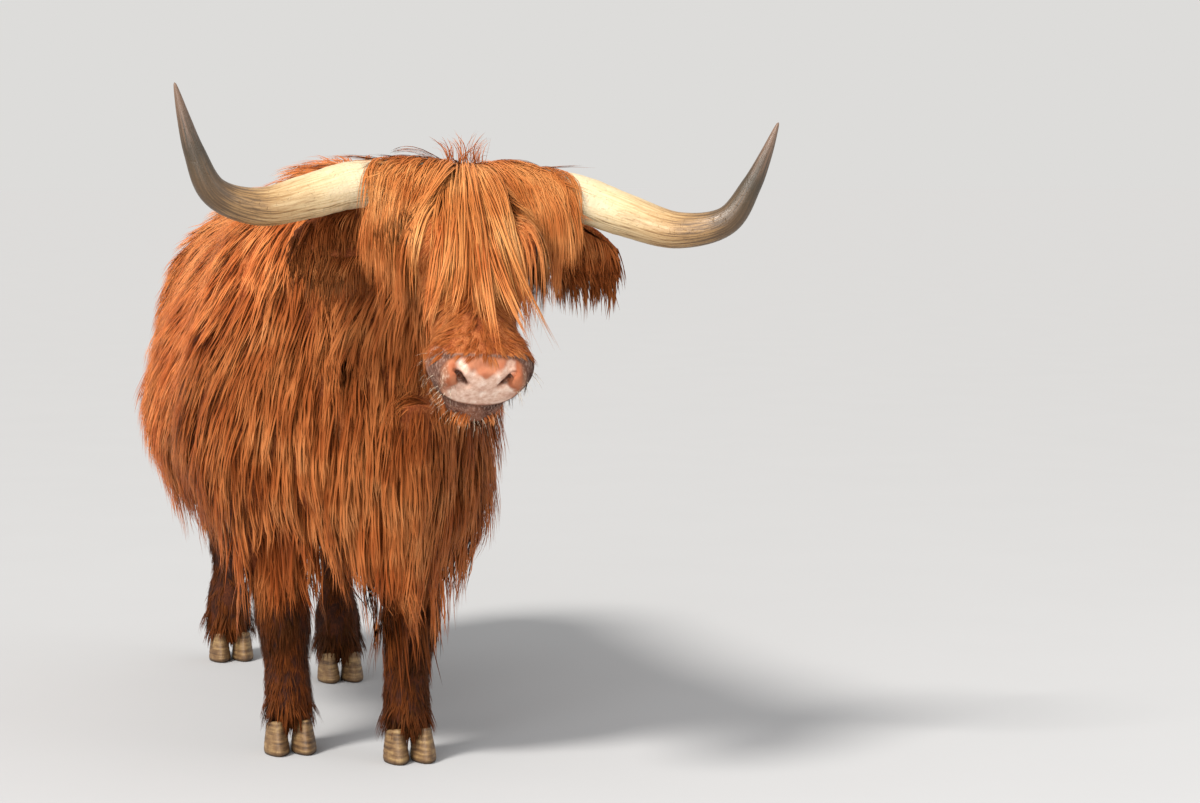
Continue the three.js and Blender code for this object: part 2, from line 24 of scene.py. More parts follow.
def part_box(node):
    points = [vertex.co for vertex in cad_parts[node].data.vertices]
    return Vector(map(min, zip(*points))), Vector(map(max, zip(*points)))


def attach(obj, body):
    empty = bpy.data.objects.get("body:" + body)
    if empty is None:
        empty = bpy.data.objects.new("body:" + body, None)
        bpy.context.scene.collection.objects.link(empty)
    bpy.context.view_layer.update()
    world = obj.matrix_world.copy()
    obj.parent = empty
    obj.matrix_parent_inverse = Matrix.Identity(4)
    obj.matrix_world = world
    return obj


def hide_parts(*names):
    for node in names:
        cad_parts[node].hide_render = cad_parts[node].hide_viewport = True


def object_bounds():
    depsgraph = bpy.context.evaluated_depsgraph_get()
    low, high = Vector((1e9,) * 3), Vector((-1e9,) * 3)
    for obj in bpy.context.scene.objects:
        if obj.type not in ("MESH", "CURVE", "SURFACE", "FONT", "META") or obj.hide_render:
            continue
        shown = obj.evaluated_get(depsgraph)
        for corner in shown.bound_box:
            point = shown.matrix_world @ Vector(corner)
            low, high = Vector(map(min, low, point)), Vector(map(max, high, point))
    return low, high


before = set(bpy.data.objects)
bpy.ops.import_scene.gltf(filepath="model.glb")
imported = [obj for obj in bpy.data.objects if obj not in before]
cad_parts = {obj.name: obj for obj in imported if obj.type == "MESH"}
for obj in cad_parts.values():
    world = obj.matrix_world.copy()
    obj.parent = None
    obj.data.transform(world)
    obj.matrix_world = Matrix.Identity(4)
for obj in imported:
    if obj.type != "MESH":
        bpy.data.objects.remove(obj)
SOLIDS_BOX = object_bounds()

log = logging.getLogger("highland_cow")
Array = np.ndarray
Field = Callable[[Array], Array]
MM = 0.001
UP = np.array([0.0, 0.0, 1.0])
DOWN = -UP
SIDES = ((1, "left"), (-1, "right"))
UNWRAP = "OFBake"
HORN_SEED, LASH_SEED, WHISKER_SEED, COAT_SEED = 40, 60, 90, 700


# ---- Small tools -----------------------------------------------------------------------------
def unit(v: Array) -> Array:
    """Vectors of length one in the same directions."""
    return v / np.maximum(np.linalg.norm(v, axis=-1, keepdims=True), 1e-9)


def rise(x: Array, low: float, high: float) -> Array:
    """A smooth step from 0 at low to 1 at high, which may be the smaller of the two."""
    t = np.clip((np.asarray(x, float) - low) / (high - low), 0, 1)
    return t * t * (3 - 2 * t)


def across(v: Array, n: Array) -> Array:
    """What is left of v when its part along the unit vectors n is taken away."""
    return v - n * np.sum(v * n, axis=-1, keepdims=True)


def profile(knots: Sequence[tuple[float, float]]) -> Callable[[Array], Array]:
    """A smooth curve through the knots that never overshoots them.

    Args:
        knots: pairs of place and value, in rising order of place.

    Returns:
        A function of place, held level past the ends.
    """
    at, value = (np.array(c, float) for c in zip(*knots))
    span = np.diff(at)
    slope = np.diff(value) / span
    tangent = np.zeros(len(at))
    same = slope[:-1] * slope[1:] > 0
    total = np.where(same, slope[:-1] + slope[1:], 1)
    tangent[1:-1] = np.where(same, 2 * slope[:-1] * slope[1:] / total, 0)

    def curve(x: Array) -> Array:
        """The value at each place.

        Args:
            x: the places.

        Returns:
            The values there.
        """
        x = np.clip(x, at[0], at[-1])
        i = np.clip(np.searchsorted(at, x, side="right") - 1, 0, len(span) - 1)
        t = (x - at[i]) / span[i]
        back = 1 - t
        ends = value[i] * (1 + 2 * t) * back * back + value[i + 1] * (1 + 2 * back) * t * t
        return ends + span[i] * t * back * (tangent[i] * back - tangent[i + 1] * t)

    return curve


def smooth_path(points: Array, count: int) -> Array:
    """Evenly spaced points on a smooth curve through the given ones.

    Args:
        points: the points it passes through.
        count: how many points to give.

    Returns:
        The points.
    """
    p = np.asarray(points, float)
    p = np.vstack([2 * p[0] - p[1], p, 2 * p[-1] - p[-2]])
    knot = np.concatenate([[0], np.cumsum(np.sqrt(np.linalg.norm(np.diff(p, axis=0), axis=1)))])
    fine = []
    for i in range(1, len(p) - 2):
        t = np.linspace(knot[i], knot[i + 1], 40)[:, None]
        k0, k1, k2, k3 = knot[i - 1 : i + 3]
        a1 = (k1 - t) / (k1 - k0) * p[i - 1] + (t - k0) / (k1 - k0) * p[i]
        a2 = (k2 - t) / (k2 - k1) * p[i] + (t - k1) / (k2 - k1) * p[i + 1]
        a3 = (k3 - t) / (k3 - k2) * p[i + 1] + (t - k2) / (k3 - k2) * p[i + 2]
        b1 = (k2 - t) / (k2 - k0) * a1 + (t - k0) / (k2 - k0) * a2
        b2 = (k3 - t) / (k3 - k1) * a2 + (t - k1) / (k3 - k1) * a3
        fine.append((k2 - t) / (k2 - k1) * b1 + (t - k1) / (k2 - k1) * b2)
    line = np.vstack(fine)
    far = np.concatenate([[0], np.cumsum(np.linalg.norm(np.diff(line, axis=0), axis=1))])
    wanted = np.linspace(0, far[-1], count)
    return np.stack([np.interp(wanted, far, line[:, k]) for k in range(3)], axis=1)


def carried_frames(path: Array, side: Array) -> tuple[Array, Array, Array]:
    """Tangents, sides and ups along a path, carried without twist from a first side.

    Args:
        path: the points of the path.
        side: the first side.

    Returns:
        Three unit vectors for each point.
    """
    tangent = unit(np.gradient(path, axis=0))
    sides = []
    for t in tangent:
        side = across(side, t)
        side = side / np.linalg.norm(side)
        sides.append(side)
    sides = np.array(sides)
    return tangent, sides, np.cross(tangent, sides)


# ---- Forms as fields: negative inside, close to a distance near the surface --------------------
def soft_min(reach: float, u: Array, v: Array) -> Array:
    """Two forms joined, with a fillet of about this reach."""
    h = np.maximum(reach - np.abs(u - v), 0) / reach
    return np.minimum(u, v) - h * h * reach / 4


def soft_cut(reach: float, u: Array, v: Array) -> Array:
    """The first form with the second taken out of it, with a rounded edge."""
    return -soft_min(reach, -u, v)


def blend(reach: float, *fields: Field) -> Field:
    """Joins fields with a fillet of about this reach.

    Args:
        reach: the size of the fillet.
        fields: what to join.

    Returns:
        The joined field.
    """

    def joined(p: Array) -> Array:
        """The joined field.

        Args:
            p: the places.

        Returns:
            The values there.
        """
        total = fields[0](p)
        for other in fields[1:]:
            total = soft_min(reach, total, other(p))
        return total

    return joined


def common(reach: float, a: Field, b: Field) -> Field:
    """What is inside both fields, with a rounded edge."""
    return lambda p: soft_cut(reach, a(p), -b(p))


def paired(form: Field) -> Field:
    """The same form on both sides of the head."""
    return lambda p: form(np.stack([np.abs(p[:, 0]), p[:, 1], p[:, 2]], axis=1))


def mass(center: Sequence[float], radii: Sequence[float], turn: Sequence[float] = (0, 0, 0)) -> Field:
    """A rounded mass with three radii, turned about its first, second and third axis by degrees.

    Args:
        center: its middle.
        radii: its three radii.
        turn: its turn about each axis.

    Returns:
        Its field.
    """
    x, y, z = (Matrix.Rotation(math.radians(a), 3, k) for a, k in zip(turn, "XYZ"))
    back = np.array(x @ y @ z)
    r = np.asarray(radii, float)

    def rounded(p: Array) -> Array:
        """The field of the mass.

        Args:
            p: the places.

        Returns:
            The values there.
        """
        q = (p - np.asarray(center, float)) @ back
        k = np.linalg.norm(q / r, axis=1)
        g = np.linalg.norm(q / r**2, axis=1)
        return np.where(g < 1e-9, -r.min(), k * (k - 1) / np.maximum(g, 1e-9))

    return rounded


def bar(a: Sequence[float], b: Sequence[float], ra: float, rb: float) -> Field:
    """A round bar from a to b, with its radius at each end.

    Args:
        a: its start.
        b: its end.
        ra: its radius at the start.
        rb: its radius at the end.

    Returns:
        Its field.
    """
    start, along = np.asarray(a, float), np.asarray(b, float) - np.asarray(a, float)

    def rod(p: Array) -> Array:
        """The field of the bar.

        Args:
            p: the places.

        Returns:
            The values there.
        """
        w = p - start
        t = np.clip(w @ along / (along @ along), 0, 1)
        return np.linalg.norm(w - t[:, None] * along, axis=1) - (ra + (rb - ra) * t)

    return rod


def plane(normal: Sequence[float], point: Sequence[float]) -> Field:
    """The half-space behind a plane."""
    n = unit(np.asarray(normal, float))
    return lambda p: (p - np.asarray(point, float)) @ n


def sweep(top: Callable, bottom: Callable, half: Callable, power: float) -> Field:
    """A form that runs down the face: top, bottom and half-width at each place, rounded by a power.

    Args:
        top: the height of its upper side.
        bottom: the height of its lower side.
        half: half its width.
        power: how square it is, 2 for an ellipse.

    Returns:
        Its field.
    """

    def form(p: Array) -> Array:
        """The field of the form.

        Args:
            p: the places.

        Returns:
            The values there.
        """
        low, high = bottom(p[:, 2]), top(p[:, 2])
        line, b = (low + high) / 2, np.maximum((high - low) / 2, 1)
        wide = half(p[:, 2])
        u, v = np.abs(p[:, 0]) / wide, np.abs(p[:, 1] - line) / b
        q = np.maximum((u**power + v**power) ** (1 / power), 1e-6)
        far = np.hypot(u * wide, v * b)
        return np.where(q < 0.05, -np.minimum(wide, b), far * (1 - 1 / q))

    return form


def surface_of(form: Field, low: Sequence[float], high: Sequence[float], cell: float) -> tuple[Array, Array]:
    """A closed mesh of a field: one vertex in each cell that the surface crosses.

    Args:
        form: the field.
        low: the lowest corner of the grid.
        high: the highest corner of the grid.
        cell: the grid's step.

    Returns:
        The vertices and the four-sided faces.
    """
    axes = [np.arange(a, b + cell, cell) for a, b in zip(low, high)]
    shape = tuple(len(a) for a in axes)
    grid = np.stack(np.meshgrid(*axes, indexing="ij"), -1).reshape(-1, 3)
    value = form(grid).reshape(shape)
    for k in range(3):
        rim = [slice(None)] * 3
        for end in (0, -1):
            rim[k] = end
            value[tuple(rim)] = cell
    inside = value < 0
    cells = tuple(n - 1 for n in shape)

    def corner(a: Array, shift: Sequence[int]) -> Array:
        """The grid values at one corner of every cell."""
        return a[tuple(slice(s, s + n) for s, n in zip(shift, cells))]

    total, crossings = np.zeros(cells + (3,)), np.zeros(cells)
    for k in range(3):
        for i, j in ((0, 0), (0, 1), (1, 0), (1, 1)):
            start = np.insert([i, j], k, 0)
            end = np.insert([i, j], k, 1)
            v0, v1 = corner(value, start), corner(value, end)
            cut = (v0 < 0) != (v1 < 0)
            share = np.where(cut, v0 / np.where(cut, v0 - v1, 1), 0)
            at = np.broadcast_to(start.astype(float), cells + (3,)).copy()
            at[..., k] = share
            total += at * cut[..., None]
            crossings += cut
    active = crossings > 0
    index = np.full(cells, -1)
    index[active] = np.arange(active.sum())
    where = np.argwhere(active)
    points = np.array([a[0] for a in axes]) + (where + total[active] / crossings[active][:, None]) * cell
    faces = []
    for k in range(3):
        i, j = [a for a in range(3) if a != k]
        near = [slice(0, n) for n in shape]
        near[k] = slice(0, shape[k] - 1)
        far = list(near)
        far[k] = slice(1, shape[k])
        cut = inside[tuple(near)] != inside[tuple(far)]
        at = np.argwhere(cut)
        at = at[(at[:, i] > 0) & (at[:, j] > 0)]
        ring = []
        for di, dj in ((1, 1), (0, 1), (0, 0), (1, 0)):
            q = at.copy()
            q[:, i] -= di
            q[:, j] -= dj
            q = np.minimum(q, np.array(cells) - 1)
            ring.append(index[q[:, 0], q[:, 1], q[:, 2]])
        quad = np.stack(ring, axis=1)
        outwards = inside[at[:, 0], at[:, 1], at[:, 2]]
        turn = outwards if k != 1 else ~outwards
        quad[~turn] = quad[~turn][:, ::-1]
        faces.append(quad[(quad >= 0).all(axis=1)])
    return points, np.vstack(faces)


def settled(points: Array, form: Field, rounds: int = 3, step: float = 0.5) -> Array:
    """Points moved onto the surface of a field.

    Args:
        points: the points to move.
        form: the field.
        rounds: how many steps to take.
        step: how far apart the slope is measured.

    Returns:
        The moved points.
    """
    for _ in range(rounds):
        value = form(points)
        slope = np.stack(
            [(form(points + step * e) - form(points - step * e)) / (2 * step) for e in np.eye(3)], axis=1
        )
        reach = np.maximum(np.sum(slope * slope, axis=1), 0.05)
        points = points - slope * np.clip(value / reach, -4, 4)[:, None]
    return points


# ---- Meshes ----------------------------------------------------------------------------------
def mesh_of(name: str, points: Array, faces: Array) -> bpy.types.Mesh:
    """A mesh from an array of points and an array of faces that all have the same number of sides.

    Args:
        name: its name.
        points: its vertices.
        faces: the corners of each face.

    Returns:
        The mesh.
    """
    made = bpy.data.meshes.new(name)
    count, sides = faces.shape
    made.vertices.add(len(points))
    made.vertices.foreach_set("co", np.ascontiguousarray(points, np.float32).ravel())
    made.loops.add(count * sides)
    made.loops.foreach_set("vertex_index", np.ascontiguousarray(faces, np.int32).ravel())
    made.polygons.add(count)
    made.polygons.foreach_set("loop_start", np.arange(0, count * sides, sides, dtype=np.int32))
    made.polygons.foreach_set("use_smooth", np.ones(count, bool))
    made.update(calc_edges=True)
    return made


def shown(name: str, data: bpy.types.ID) -> bpy.types.Object:
    """An object for a mesh, a lamp or a camera, at the origin and in the scene.

    Args:
        name: its name.
        data: the mesh, lamp or camera.

    Returns:
        The object.
    """
    made = bpy.data.objects.new(name, data)
    bpy.context.scene.collection.objects.link(made)
    return made


def fill(layer: bpy.types.Attribute | bpy.types.MeshUVLoopLayer, key: str, values: Array) -> None:
    """Writes an array into a layer of a mesh."""
    layer.data.foreach_set(key, np.ascontiguousarray(values, np.float32).ravel())


def put_values(mesh: bpy.types.Mesh, name: str, values: Array) -> None:
    """Keeps one number for each vertex under a name that materials can read."""
    fill(mesh.attributes.new(name, "FLOAT", "POINT"), "value", values)


def put_ways(mesh: bpy.types.Mesh, name: str, values: Array) -> None:
    """Keeps one direction for each vertex under a name."""
    fill(mesh.attributes.new(name, "FLOAT_VECTOR", "POINT"), "vector", values)


def points_of(mesh: bpy.types.Mesh) -> Array:
    """The places of a mesh's vertices.

    Args:
        mesh: the mesh.

    Returns:
        One row for each vertex.
    """
    flat = np.empty(len(mesh.vertices) * 3, np.float32)
    mesh.vertices.foreach_get("co", flat)
    return flat.reshape(-1, 3).astype(float)


def place_points(mesh: bpy.types.Mesh, points: Array) -> None:
    """Moves a mesh's vertices."""
    mesh.vertices.foreach_set("co", np.ascontiguousarray(points, np.float32).ravel())
    mesh.update()


def normals_of(mesh: bpy.types.Mesh) -> Array:
    """The smooth normal at each vertex.

    Args:
        mesh: the mesh.

    Returns:
        One row for each vertex.
    """
    flat = np.empty(len(mesh.vertices) * 3, np.float32)
    mesh.vertex_normals.foreach_get("vector", flat)
    return flat.reshape(-1, 3).astype(float)


def edges_of(mesh: bpy.types.Mesh) -> Array:
    """The two vertices of each edge.

    Args:
        mesh: the mesh.

    Returns:
        One row for each edge.
    """
    flat = np.empty(len(mesh.edges) * 2, np.int32)
    mesh.edges.foreach_get("vertices", flat)
    return flat.reshape(-1, 2)


def relaxed(values: Array, edges: Array, rounds: int, share: float | Array = 0.5) -> Array:
    """Values at vertices, each drawn towards the mean of its neighbours.

    Args:
        values: one value or row for each vertex.
        edges: the two vertices of each edge.
        rounds: how often it is done.
        share: how far each value moves to the mean.

    Returns:
        The new values.
    """
    near = np.bincount(edges.ravel(), minlength=len(values))[:, None]
    columns = values.reshape(len(values), -1).astype(float)
    for _ in range(rounds):
        total = np.stack(
            [
                np.bincount(edges[:, 0], columns[edges[:, 1], k], len(columns))
                + np.bincount(edges[:, 1], columns[edges[:, 0], k], len(columns))
                for k in range(columns.shape[1])
            ],
            axis=1,
        )
        columns = columns + share * (total / np.maximum(near, 1) - columns)
    return columns.reshape(values.shape)


def loft(rings: Array, closed: bool = False) -> tuple[Array, Array]:
    """A skin of quads over rings of the same number of points, with a point closing each end.

    Args:
        rings: an array of rings, each a loop of points.
        closed: whether the last ring joins the first, as in a hoop, instead of the ends being capped.

    Returns:
        The vertices and the four-sided faces; a cap's faces repeat their middle vertex.
    """
    count, n = rings.shape[:2]
    a = np.arange(n)
    b = (a + 1) % n
    rows = range(count if closed else count - 1)
    ends = [(r * n, (r + 1) % count * n) for r in rows]
    faces = [np.stack([low + a, low + b, high + b, high + a], 1) for low, high in ends]
    points = rings.reshape(-1, 3)
    if closed:
        return points, np.vstack(faces)
    middles = np.stack([rings[0].mean(axis=0), rings[-1].mean(axis=0)])
    first, last = count * n, count * n + 1
    top = (count - 1) * n
    faces.append(np.stack([b, a, np.full(n, first), np.full(n, first)], 1))
    faces.append(np.stack([top + a, top + b, np.full(n, last), np.full(n, last)], 1))
    return np.vstack([points, middles]), np.vstack(faces)


def tidy_mesh(name: str, points: Array, faces: Array) -> bpy.types.Mesh:
    """A mesh whose doubled vertices and collapsed faces are merged and whose faces point outwards.

    Args:
        name: its name.
        points: its vertices.
        faces: the corners of each face.

    Returns:
        The mesh.
    """
    work = bmesh.new()
    verts = [work.verts.new(p) for p in points]
    for face in faces:
        ring = list(dict.fromkeys(int(i) for i in face))
        if len(ring) > 2:
            work.faces.new([verts[i] for i in ring])
    bmesh.ops.remove_doubles(work, verts=work.verts, dist=1e-7)
    bmesh.ops.recalc_face_normals(work, faces=work.faces)
    made = bpy.data.meshes.new(name)
    work.to_mesh(made)
    work.free()
    made.shade_smooth()
    return made


def turn_outwards(mesh: bpy.types.Mesh) -> None:
    """Makes the faces of a closed mesh point outwards.

    Args:
        mesh: the mesh.
    """
    work = bmesh.new()
    work.from_mesh(mesh)
    bmesh.ops.recalc_face_normals(work, faces=work.faces)
    work.to_mesh(mesh)
    work.free()


def joined_mesh(name: str, meshes: Sequence[bpy.types.Mesh]) -> bpy.types.Mesh:
    """One mesh from several.

    Args:
        name: its name.
        meshes: what it is made of.

    Returns:
        The mesh.
    """
    work = bmesh.new()
    for mesh in meshes:
        work.from_mesh(mesh)
    made = bpy.data.meshes.new(name)
    work.to_mesh(made)
    work.free()
    made.shade_smooth()
    return made


def finished(obj: bpy.types.Object) -> bpy.types.Mesh:
    """The plain mesh of an object with its modifiers applied; the object itself is removed.

    Args:
        obj: the object.

    Returns:
        The mesh.
    """
    graph = bpy.context.evaluated_depsgraph_get()
    mesh = bpy.data.meshes.new_from_object(obj.evaluated_get(graph))
    old = obj.data
    bpy.data.objects.remove(obj)
    bpy.data.meshes.remove(old)
    mesh.shade_smooth()
    return mesh


def node_box(name: str) -> tuple[Array, Array]:
    """The lowest and highest corner of a node of the frame."""
    low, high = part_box(name)
    return np.array(low), np.array(high)


def node_middle(name: str) -> Array:
    """The middle of a node's box."""
    low, high = node_box(name)
    return (low + high) / 2


# ---- The head's own frame --------------------------------------------------------------------
@dataclass(frozen=True)
class HeadFrame:
    """Places on the head in millimetres: out to its left, out of the forehead, and down the face."""

    origin: Array
    axes: Array
    level: Array

    PITCH = math.radians(52)
    EYE_MM = (0.0, 24.0, 150.0)

    @classmethod
    def of_frame(cls) -> HeadFrame:
        """Works the frame out from where the two eyes are.

        Returns:
            The head's frame.
        """
        left, right = node_middle("eye_left"), node_middle("eye_right")
        out = unit(left - right)
        ahead = unit(np.cross(out, UP))
        upward = np.cross(ahead, out)
        s, c = math.sin(cls.PITCH), math.cos(cls.PITCH)
        axes = np.stack([out, ahead * s + upward * c, ahead * c - upward * s])
        middle = (left + right) / 2
        return cls(middle - np.array(cls.EYE_MM) * MM @ axes, axes, np.stack([out, ahead, upward]))

    def world(self, p: Array) -> Array:
        """Places in the scene, in metres."""
        return self.origin + np.asarray(p, float) * MM @ self.axes

    def face(self, p: Array) -> Array:
        """Places on the head, in millimetres."""
        return (np.asarray(p, float) - self.origin) @ self.axes.T / MM

    def to_level(self, p: Array) -> Array:
        """Places out, ahead and up from the poll, in millimetres."""
        return (p - self.origin) @ self.level.T / MM

    def from_level(self, p: Sequence[float]) -> Array:
        """Places given as out, ahead and up from the poll, as places on the head.

        Args:
            p: the places.

        Returns:
            The places in the head's frame.
        """
        out, ahead, upward = np.moveaxis(np.asarray(p, float), -1, 0)
        s, c = math.sin(self.PITCH), math.cos(self.PITCH)
        return np.stack([out, ahead * s + upward * c, ahead * c - upward * s], axis=-1)


@dataclass(frozen=True)
class HeadForm:
    """The flesh of the head under its hair, in millimetres of the head's frame."""

    frame: HeadFrame
    eye: tuple[float, float, float] = (105, 24, 150)
    eye_radius: float = 20
    nostril: tuple[float, float] = (42, 4)
    mouth_line: float = -62
    cell: float = 4.5

    # The section of a lid from under its rim to its hidden edge: degrees past the opening, and the radius.
    LID_SECTION = (
        (7, 18.6), (1, 20.5), (-1.5, 21.6), (-1, 23.2), (2, 24.3), (9, 25.0), (17, 25.2),
        (21, 24.0), (27, 25.4), (38, 25.0), (52, 21.5), (52, 15), (30, 14),
    )

    def hair(self, p: Array) -> Array:
        """How deep the hair lies over the flesh at each place.

        Args:
            p: the places.

        Returns:
            The depths in millimetres.
        """
        above = profile([(-95, 30), (-20, 30), (90, 22), (200, 11), (290, 8), (345, 4), (400, 1.5)])(p[:, 2])
        below = profile([(-60, 34), (100, 32), (250, 24), (340, 13), (420, 6)])(p[:, 2])
        return above + (below - above) * rise(p[:, 1], -30, -110)

    def bones(self) -> Field:
        """Skull, jaw, muzzle, brows and cheeks, out to the ends of the hair.

        Returns:
            The field of the head without details.
        """
        crown = sweep(
            top=profile([(-95, 5), (-60, 52), (0, 76), (90, 80), (170, 68), (250, 52), (330, 44), (430, 40)]),
            bottom=profile([(-95, -110), (0, -130), (150, -125), (300, -95), (430, -78)]),
            half=profile(
                [(-95, 70), (-30, 104), (60, 112), (140, 120), (200, 104), (270, 81), (340, 78), (430, 84)]
            ),
            power=2.3,
        )
        mandible = sweep(
            top=lambda t: np.full_like(t, -20.0),
            bottom=profile(
                [(-60, -120), (20, -188), (100, -212), (190, -196), (280, -160), (360, -134), (420, -122)]
            ),
            half=profile([(-60, 60), (40, 92), (120, 92), (220, 76), (320, 60), (420, 52)]),
            power=2.2,
        )
        crown = common(60, crown, plane([0, 0, -1], [0, 0, -92]))
        crown = common(50, crown, plane([0, 0.36, 1], [0, 0, 424]))
        mandible = common(60, mandible, plane([0, 0, -1], [0, 0, -50]))
        mandible = common(46, mandible, plane([0, -0.25, 1], [0, -60, 426]))
        return blend(
            34,
            crown,
            mandible,
            mass([0, -14, 386], [102, 57, 66]),
            mass([0, -100, 408], [60, 46, 50]),
            paired(mass([88, 50, 122], [44, 34, 46])),
            paired(mass([62, -90, 150], [50, 80, 110])),
        )

    def pad_place(self, out: float, up: float, proud: float) -> list[float]:
        """A place on the front of the nose: out from its middle, up it, and proud of it."""
        return [out, 2 + 0.922 * up + 0.387 * proud, 440 - 0.387 * up + 0.922 * proud]

    def flesh(self) -> Field:
        """The whole head's flesh: lips, nostrils, eye hollows, and stubs for horns, ears and neck.

        Returns:
            The field.
        """
        at = self.frame.from_level
        x, up = self.nostril
        bones = self.bones()
        on_face = blend(
            16,
            paired(mass([94, 22, 150], [28, 38, 44], [0, 0, 10])),
            paired(bar([86, -8, 190], [64, -30, 300], 12, 9)),
            paired(bar([26, 30, 330], [50, 22, 392], 13, 13)),
        )
        front = plane([0, 0.42, 1], [0, 0, 443])
        nose = blend(
            12,
            paired(mass(self.pad_place(x + 21, up, -9), [16, 26, 17], [0, 0, 14])),
            paired(mass(self.pad_place(x - 12, up + 15, -8), [12, 16, 13])),
            mass(self.pad_place(0, -8, -9), [30, 36, 13]),
        )
        lips = blend(
            10,
            paired(mass([44, -52, 404], [34, 20, 30])),
            paired(bar([70, -54, 384], [76, -58, 330], 12, 9)),
            mass([0, -84, 410], [50, 18, 32]),
        )
        hole = blend(
            6,
            bar(self.pad_place(x + 15, up + 20, 1), self.pad_place(x + 6, up + 6, -3), 3.2, 5.2),
            bar(self.pad_place(x + 6, up + 6, -3), self.pad_place(x - 9, up - 13, -1), 5.6, 6.4),
            bar(self.pad_place(x, up - 4, -6), self.pad_place(x - 4, up - 2, -34), 7, 12),
        )
        groove = bar(self.pad_place(0, -26, 3), self.pad_place(0, -66, 2), 4, 5)
        folds = [paired(bar(start, end, 2.4, 1.6)) for start, end in self.creases()]
        socket = paired(mass(self.eye, [21.5, 21.5, 21.5]))
        stubs = blend(
            24,
            paired(bar(at([58, -12, 8]), at([128, -6, 3]), 47, 43)),
            paired(bar(at([92, -42, -60]), at([140, -46, -70]), 26, 21)),
            self.neck(),
        )

        def form(p: Array) -> Array:
            """The field of the flesh, built up step by step.

            Args:
                p: the places.

            Returns:
                The values there.
            """
            value = soft_min(16, bones(p) + self.hair(p), on_face(p))
            value = soft_cut(24, value, -front(p))
            value = soft_min(12, value, nose(p))
            value = soft_min(14, value, lips(p))
            value = soft_cut(7, value, paired(hole)(p))
            value = soft_cut(6, value, groove(p))
            value = soft_cut(6, value, self.slit(p, value))
            for fold in folds:
                value = soft_cut(5, value, fold(p))
            value = soft_cut(3, value, socket(p))
            return soft_min(24, value, stubs(p))

        return form

    def slit(self, p: Array, surface: Array) -> Array:
        """The line of the mouth, a thin cut just under the surface.

        Args:
            p: the places.
            surface: the values of the head's own field.

        Returns:
            The values of its field.
        """
        line = self.mouth_line - 0.1 * (p[:, 2] - 400) - 7 * (p[:, 0] / 80) ** 2
        thin = np.abs(p[:, 1] - line) - 2.4
        return np.maximum(np.maximum(thin, -(surface + 11)), 302 - p[:, 2])

    def neck(self) -> Field:
        """The nape and the throat, which run back into the neck's own flesh.

        Returns:
            The field.
        """
        at = self.frame.from_level
        nape = bar(at([-4, -70, -96]), at([-110, -330, -160]), 100, 190)
        throat = bar([0, -120, 60], at([-80, -270, -300]), 80, 170)
        return blend(70, nape, throat)

    @staticmethod
    def creases() -> list[tuple[list[float], list[float]]]:
        """Fine folds behind the nostril and at the corner of the mouth, each from one end to the other.

        Returns:
            The start and the end of each fold.
        """
        return [
            ([86, 18, 384], [92, -22, 378]),
            ([80, 24, 362], [88, -14, 352]),
            ([78, -50, 318], [76, -30, 304]),
            ([74, -66, 322], [74, -78, 306]),
        ]

    def mesh(self) -> bpy.types.Mesh:
        """The head's flesh as one closed mesh in the scene.

        Returns:
            The mesh.
        """
        form = self.flesh()
        points, faces = surface_of(form, [-240, -340, -345], [216, 140, 474], 9)
        rough = shown("head_rough", mesh_of("head_rough", self.frame.world(points), faces))
        remesh = rough.modifiers.new("even", "REMESH")
        remesh.mode, remesh.voxel_size = "VOXEL", self.cell * MM
        mesh = finished(rough)
        place_points(mesh, self.frame.world(settled(self.frame.face(points_of(mesh)), form, 4)))
        self.refine(mesh)
        place_points(mesh, self.frame.world(settled(self.frame.face(points_of(mesh)), form, 4)))
        return mesh

    @classmethod
    def eye_distance(cls, at: Array) -> Array:
        """How far places on the head are from the nearer eye, in millimetres."""
        beside = np.stack([np.abs(at[:, 0]), at[:, 1], at[:, 2]], axis=1)
        return np.linalg.norm(beside - np.array(cls.eye), axis=1)

    def refine(self, mesh: bpy.types.Mesh) -> None:
        """Halves the faces of the bare nose and round the eyes.

        Args:
            mesh: the head.
        """
        at = self.frame.face(points_of(mesh))
        fine = (at[:, 2] > 385) & (at[:, 1] > -76)
        fine |= self.eye_distance(at) < 34
        work = bmesh.new()
        work.from_mesh(mesh)
        edges = [e for e in work.edges if all(fine[v.index] for v in e.verts)]
        bmesh.ops.subdivide_edges(work, edges=edges, cuts=1, use_grid_fill=True)
        bmesh.ops.triangulate(work, faces=[f for f in work.faces if len(f.verts) > 4])
        work.to_mesh(mesh)
        work.free()

    def gaze(self, side: int) -> tuple[Array, Array, Array]:
        """Where an eye looks, and the two axes of its lids: along the face and up it.

        Args:
            side: 1 for the left, -1 for the right.

        Returns:
            Unit vectors out of the eye, along the face and up it.
        """
        out = unit(np.array([0.86 * side, 0.5, 0.06]))
        along = unit(across(np.array([0.0, -0.12, 1.0]), out))
        return out, along, np.cross(along, out) * side

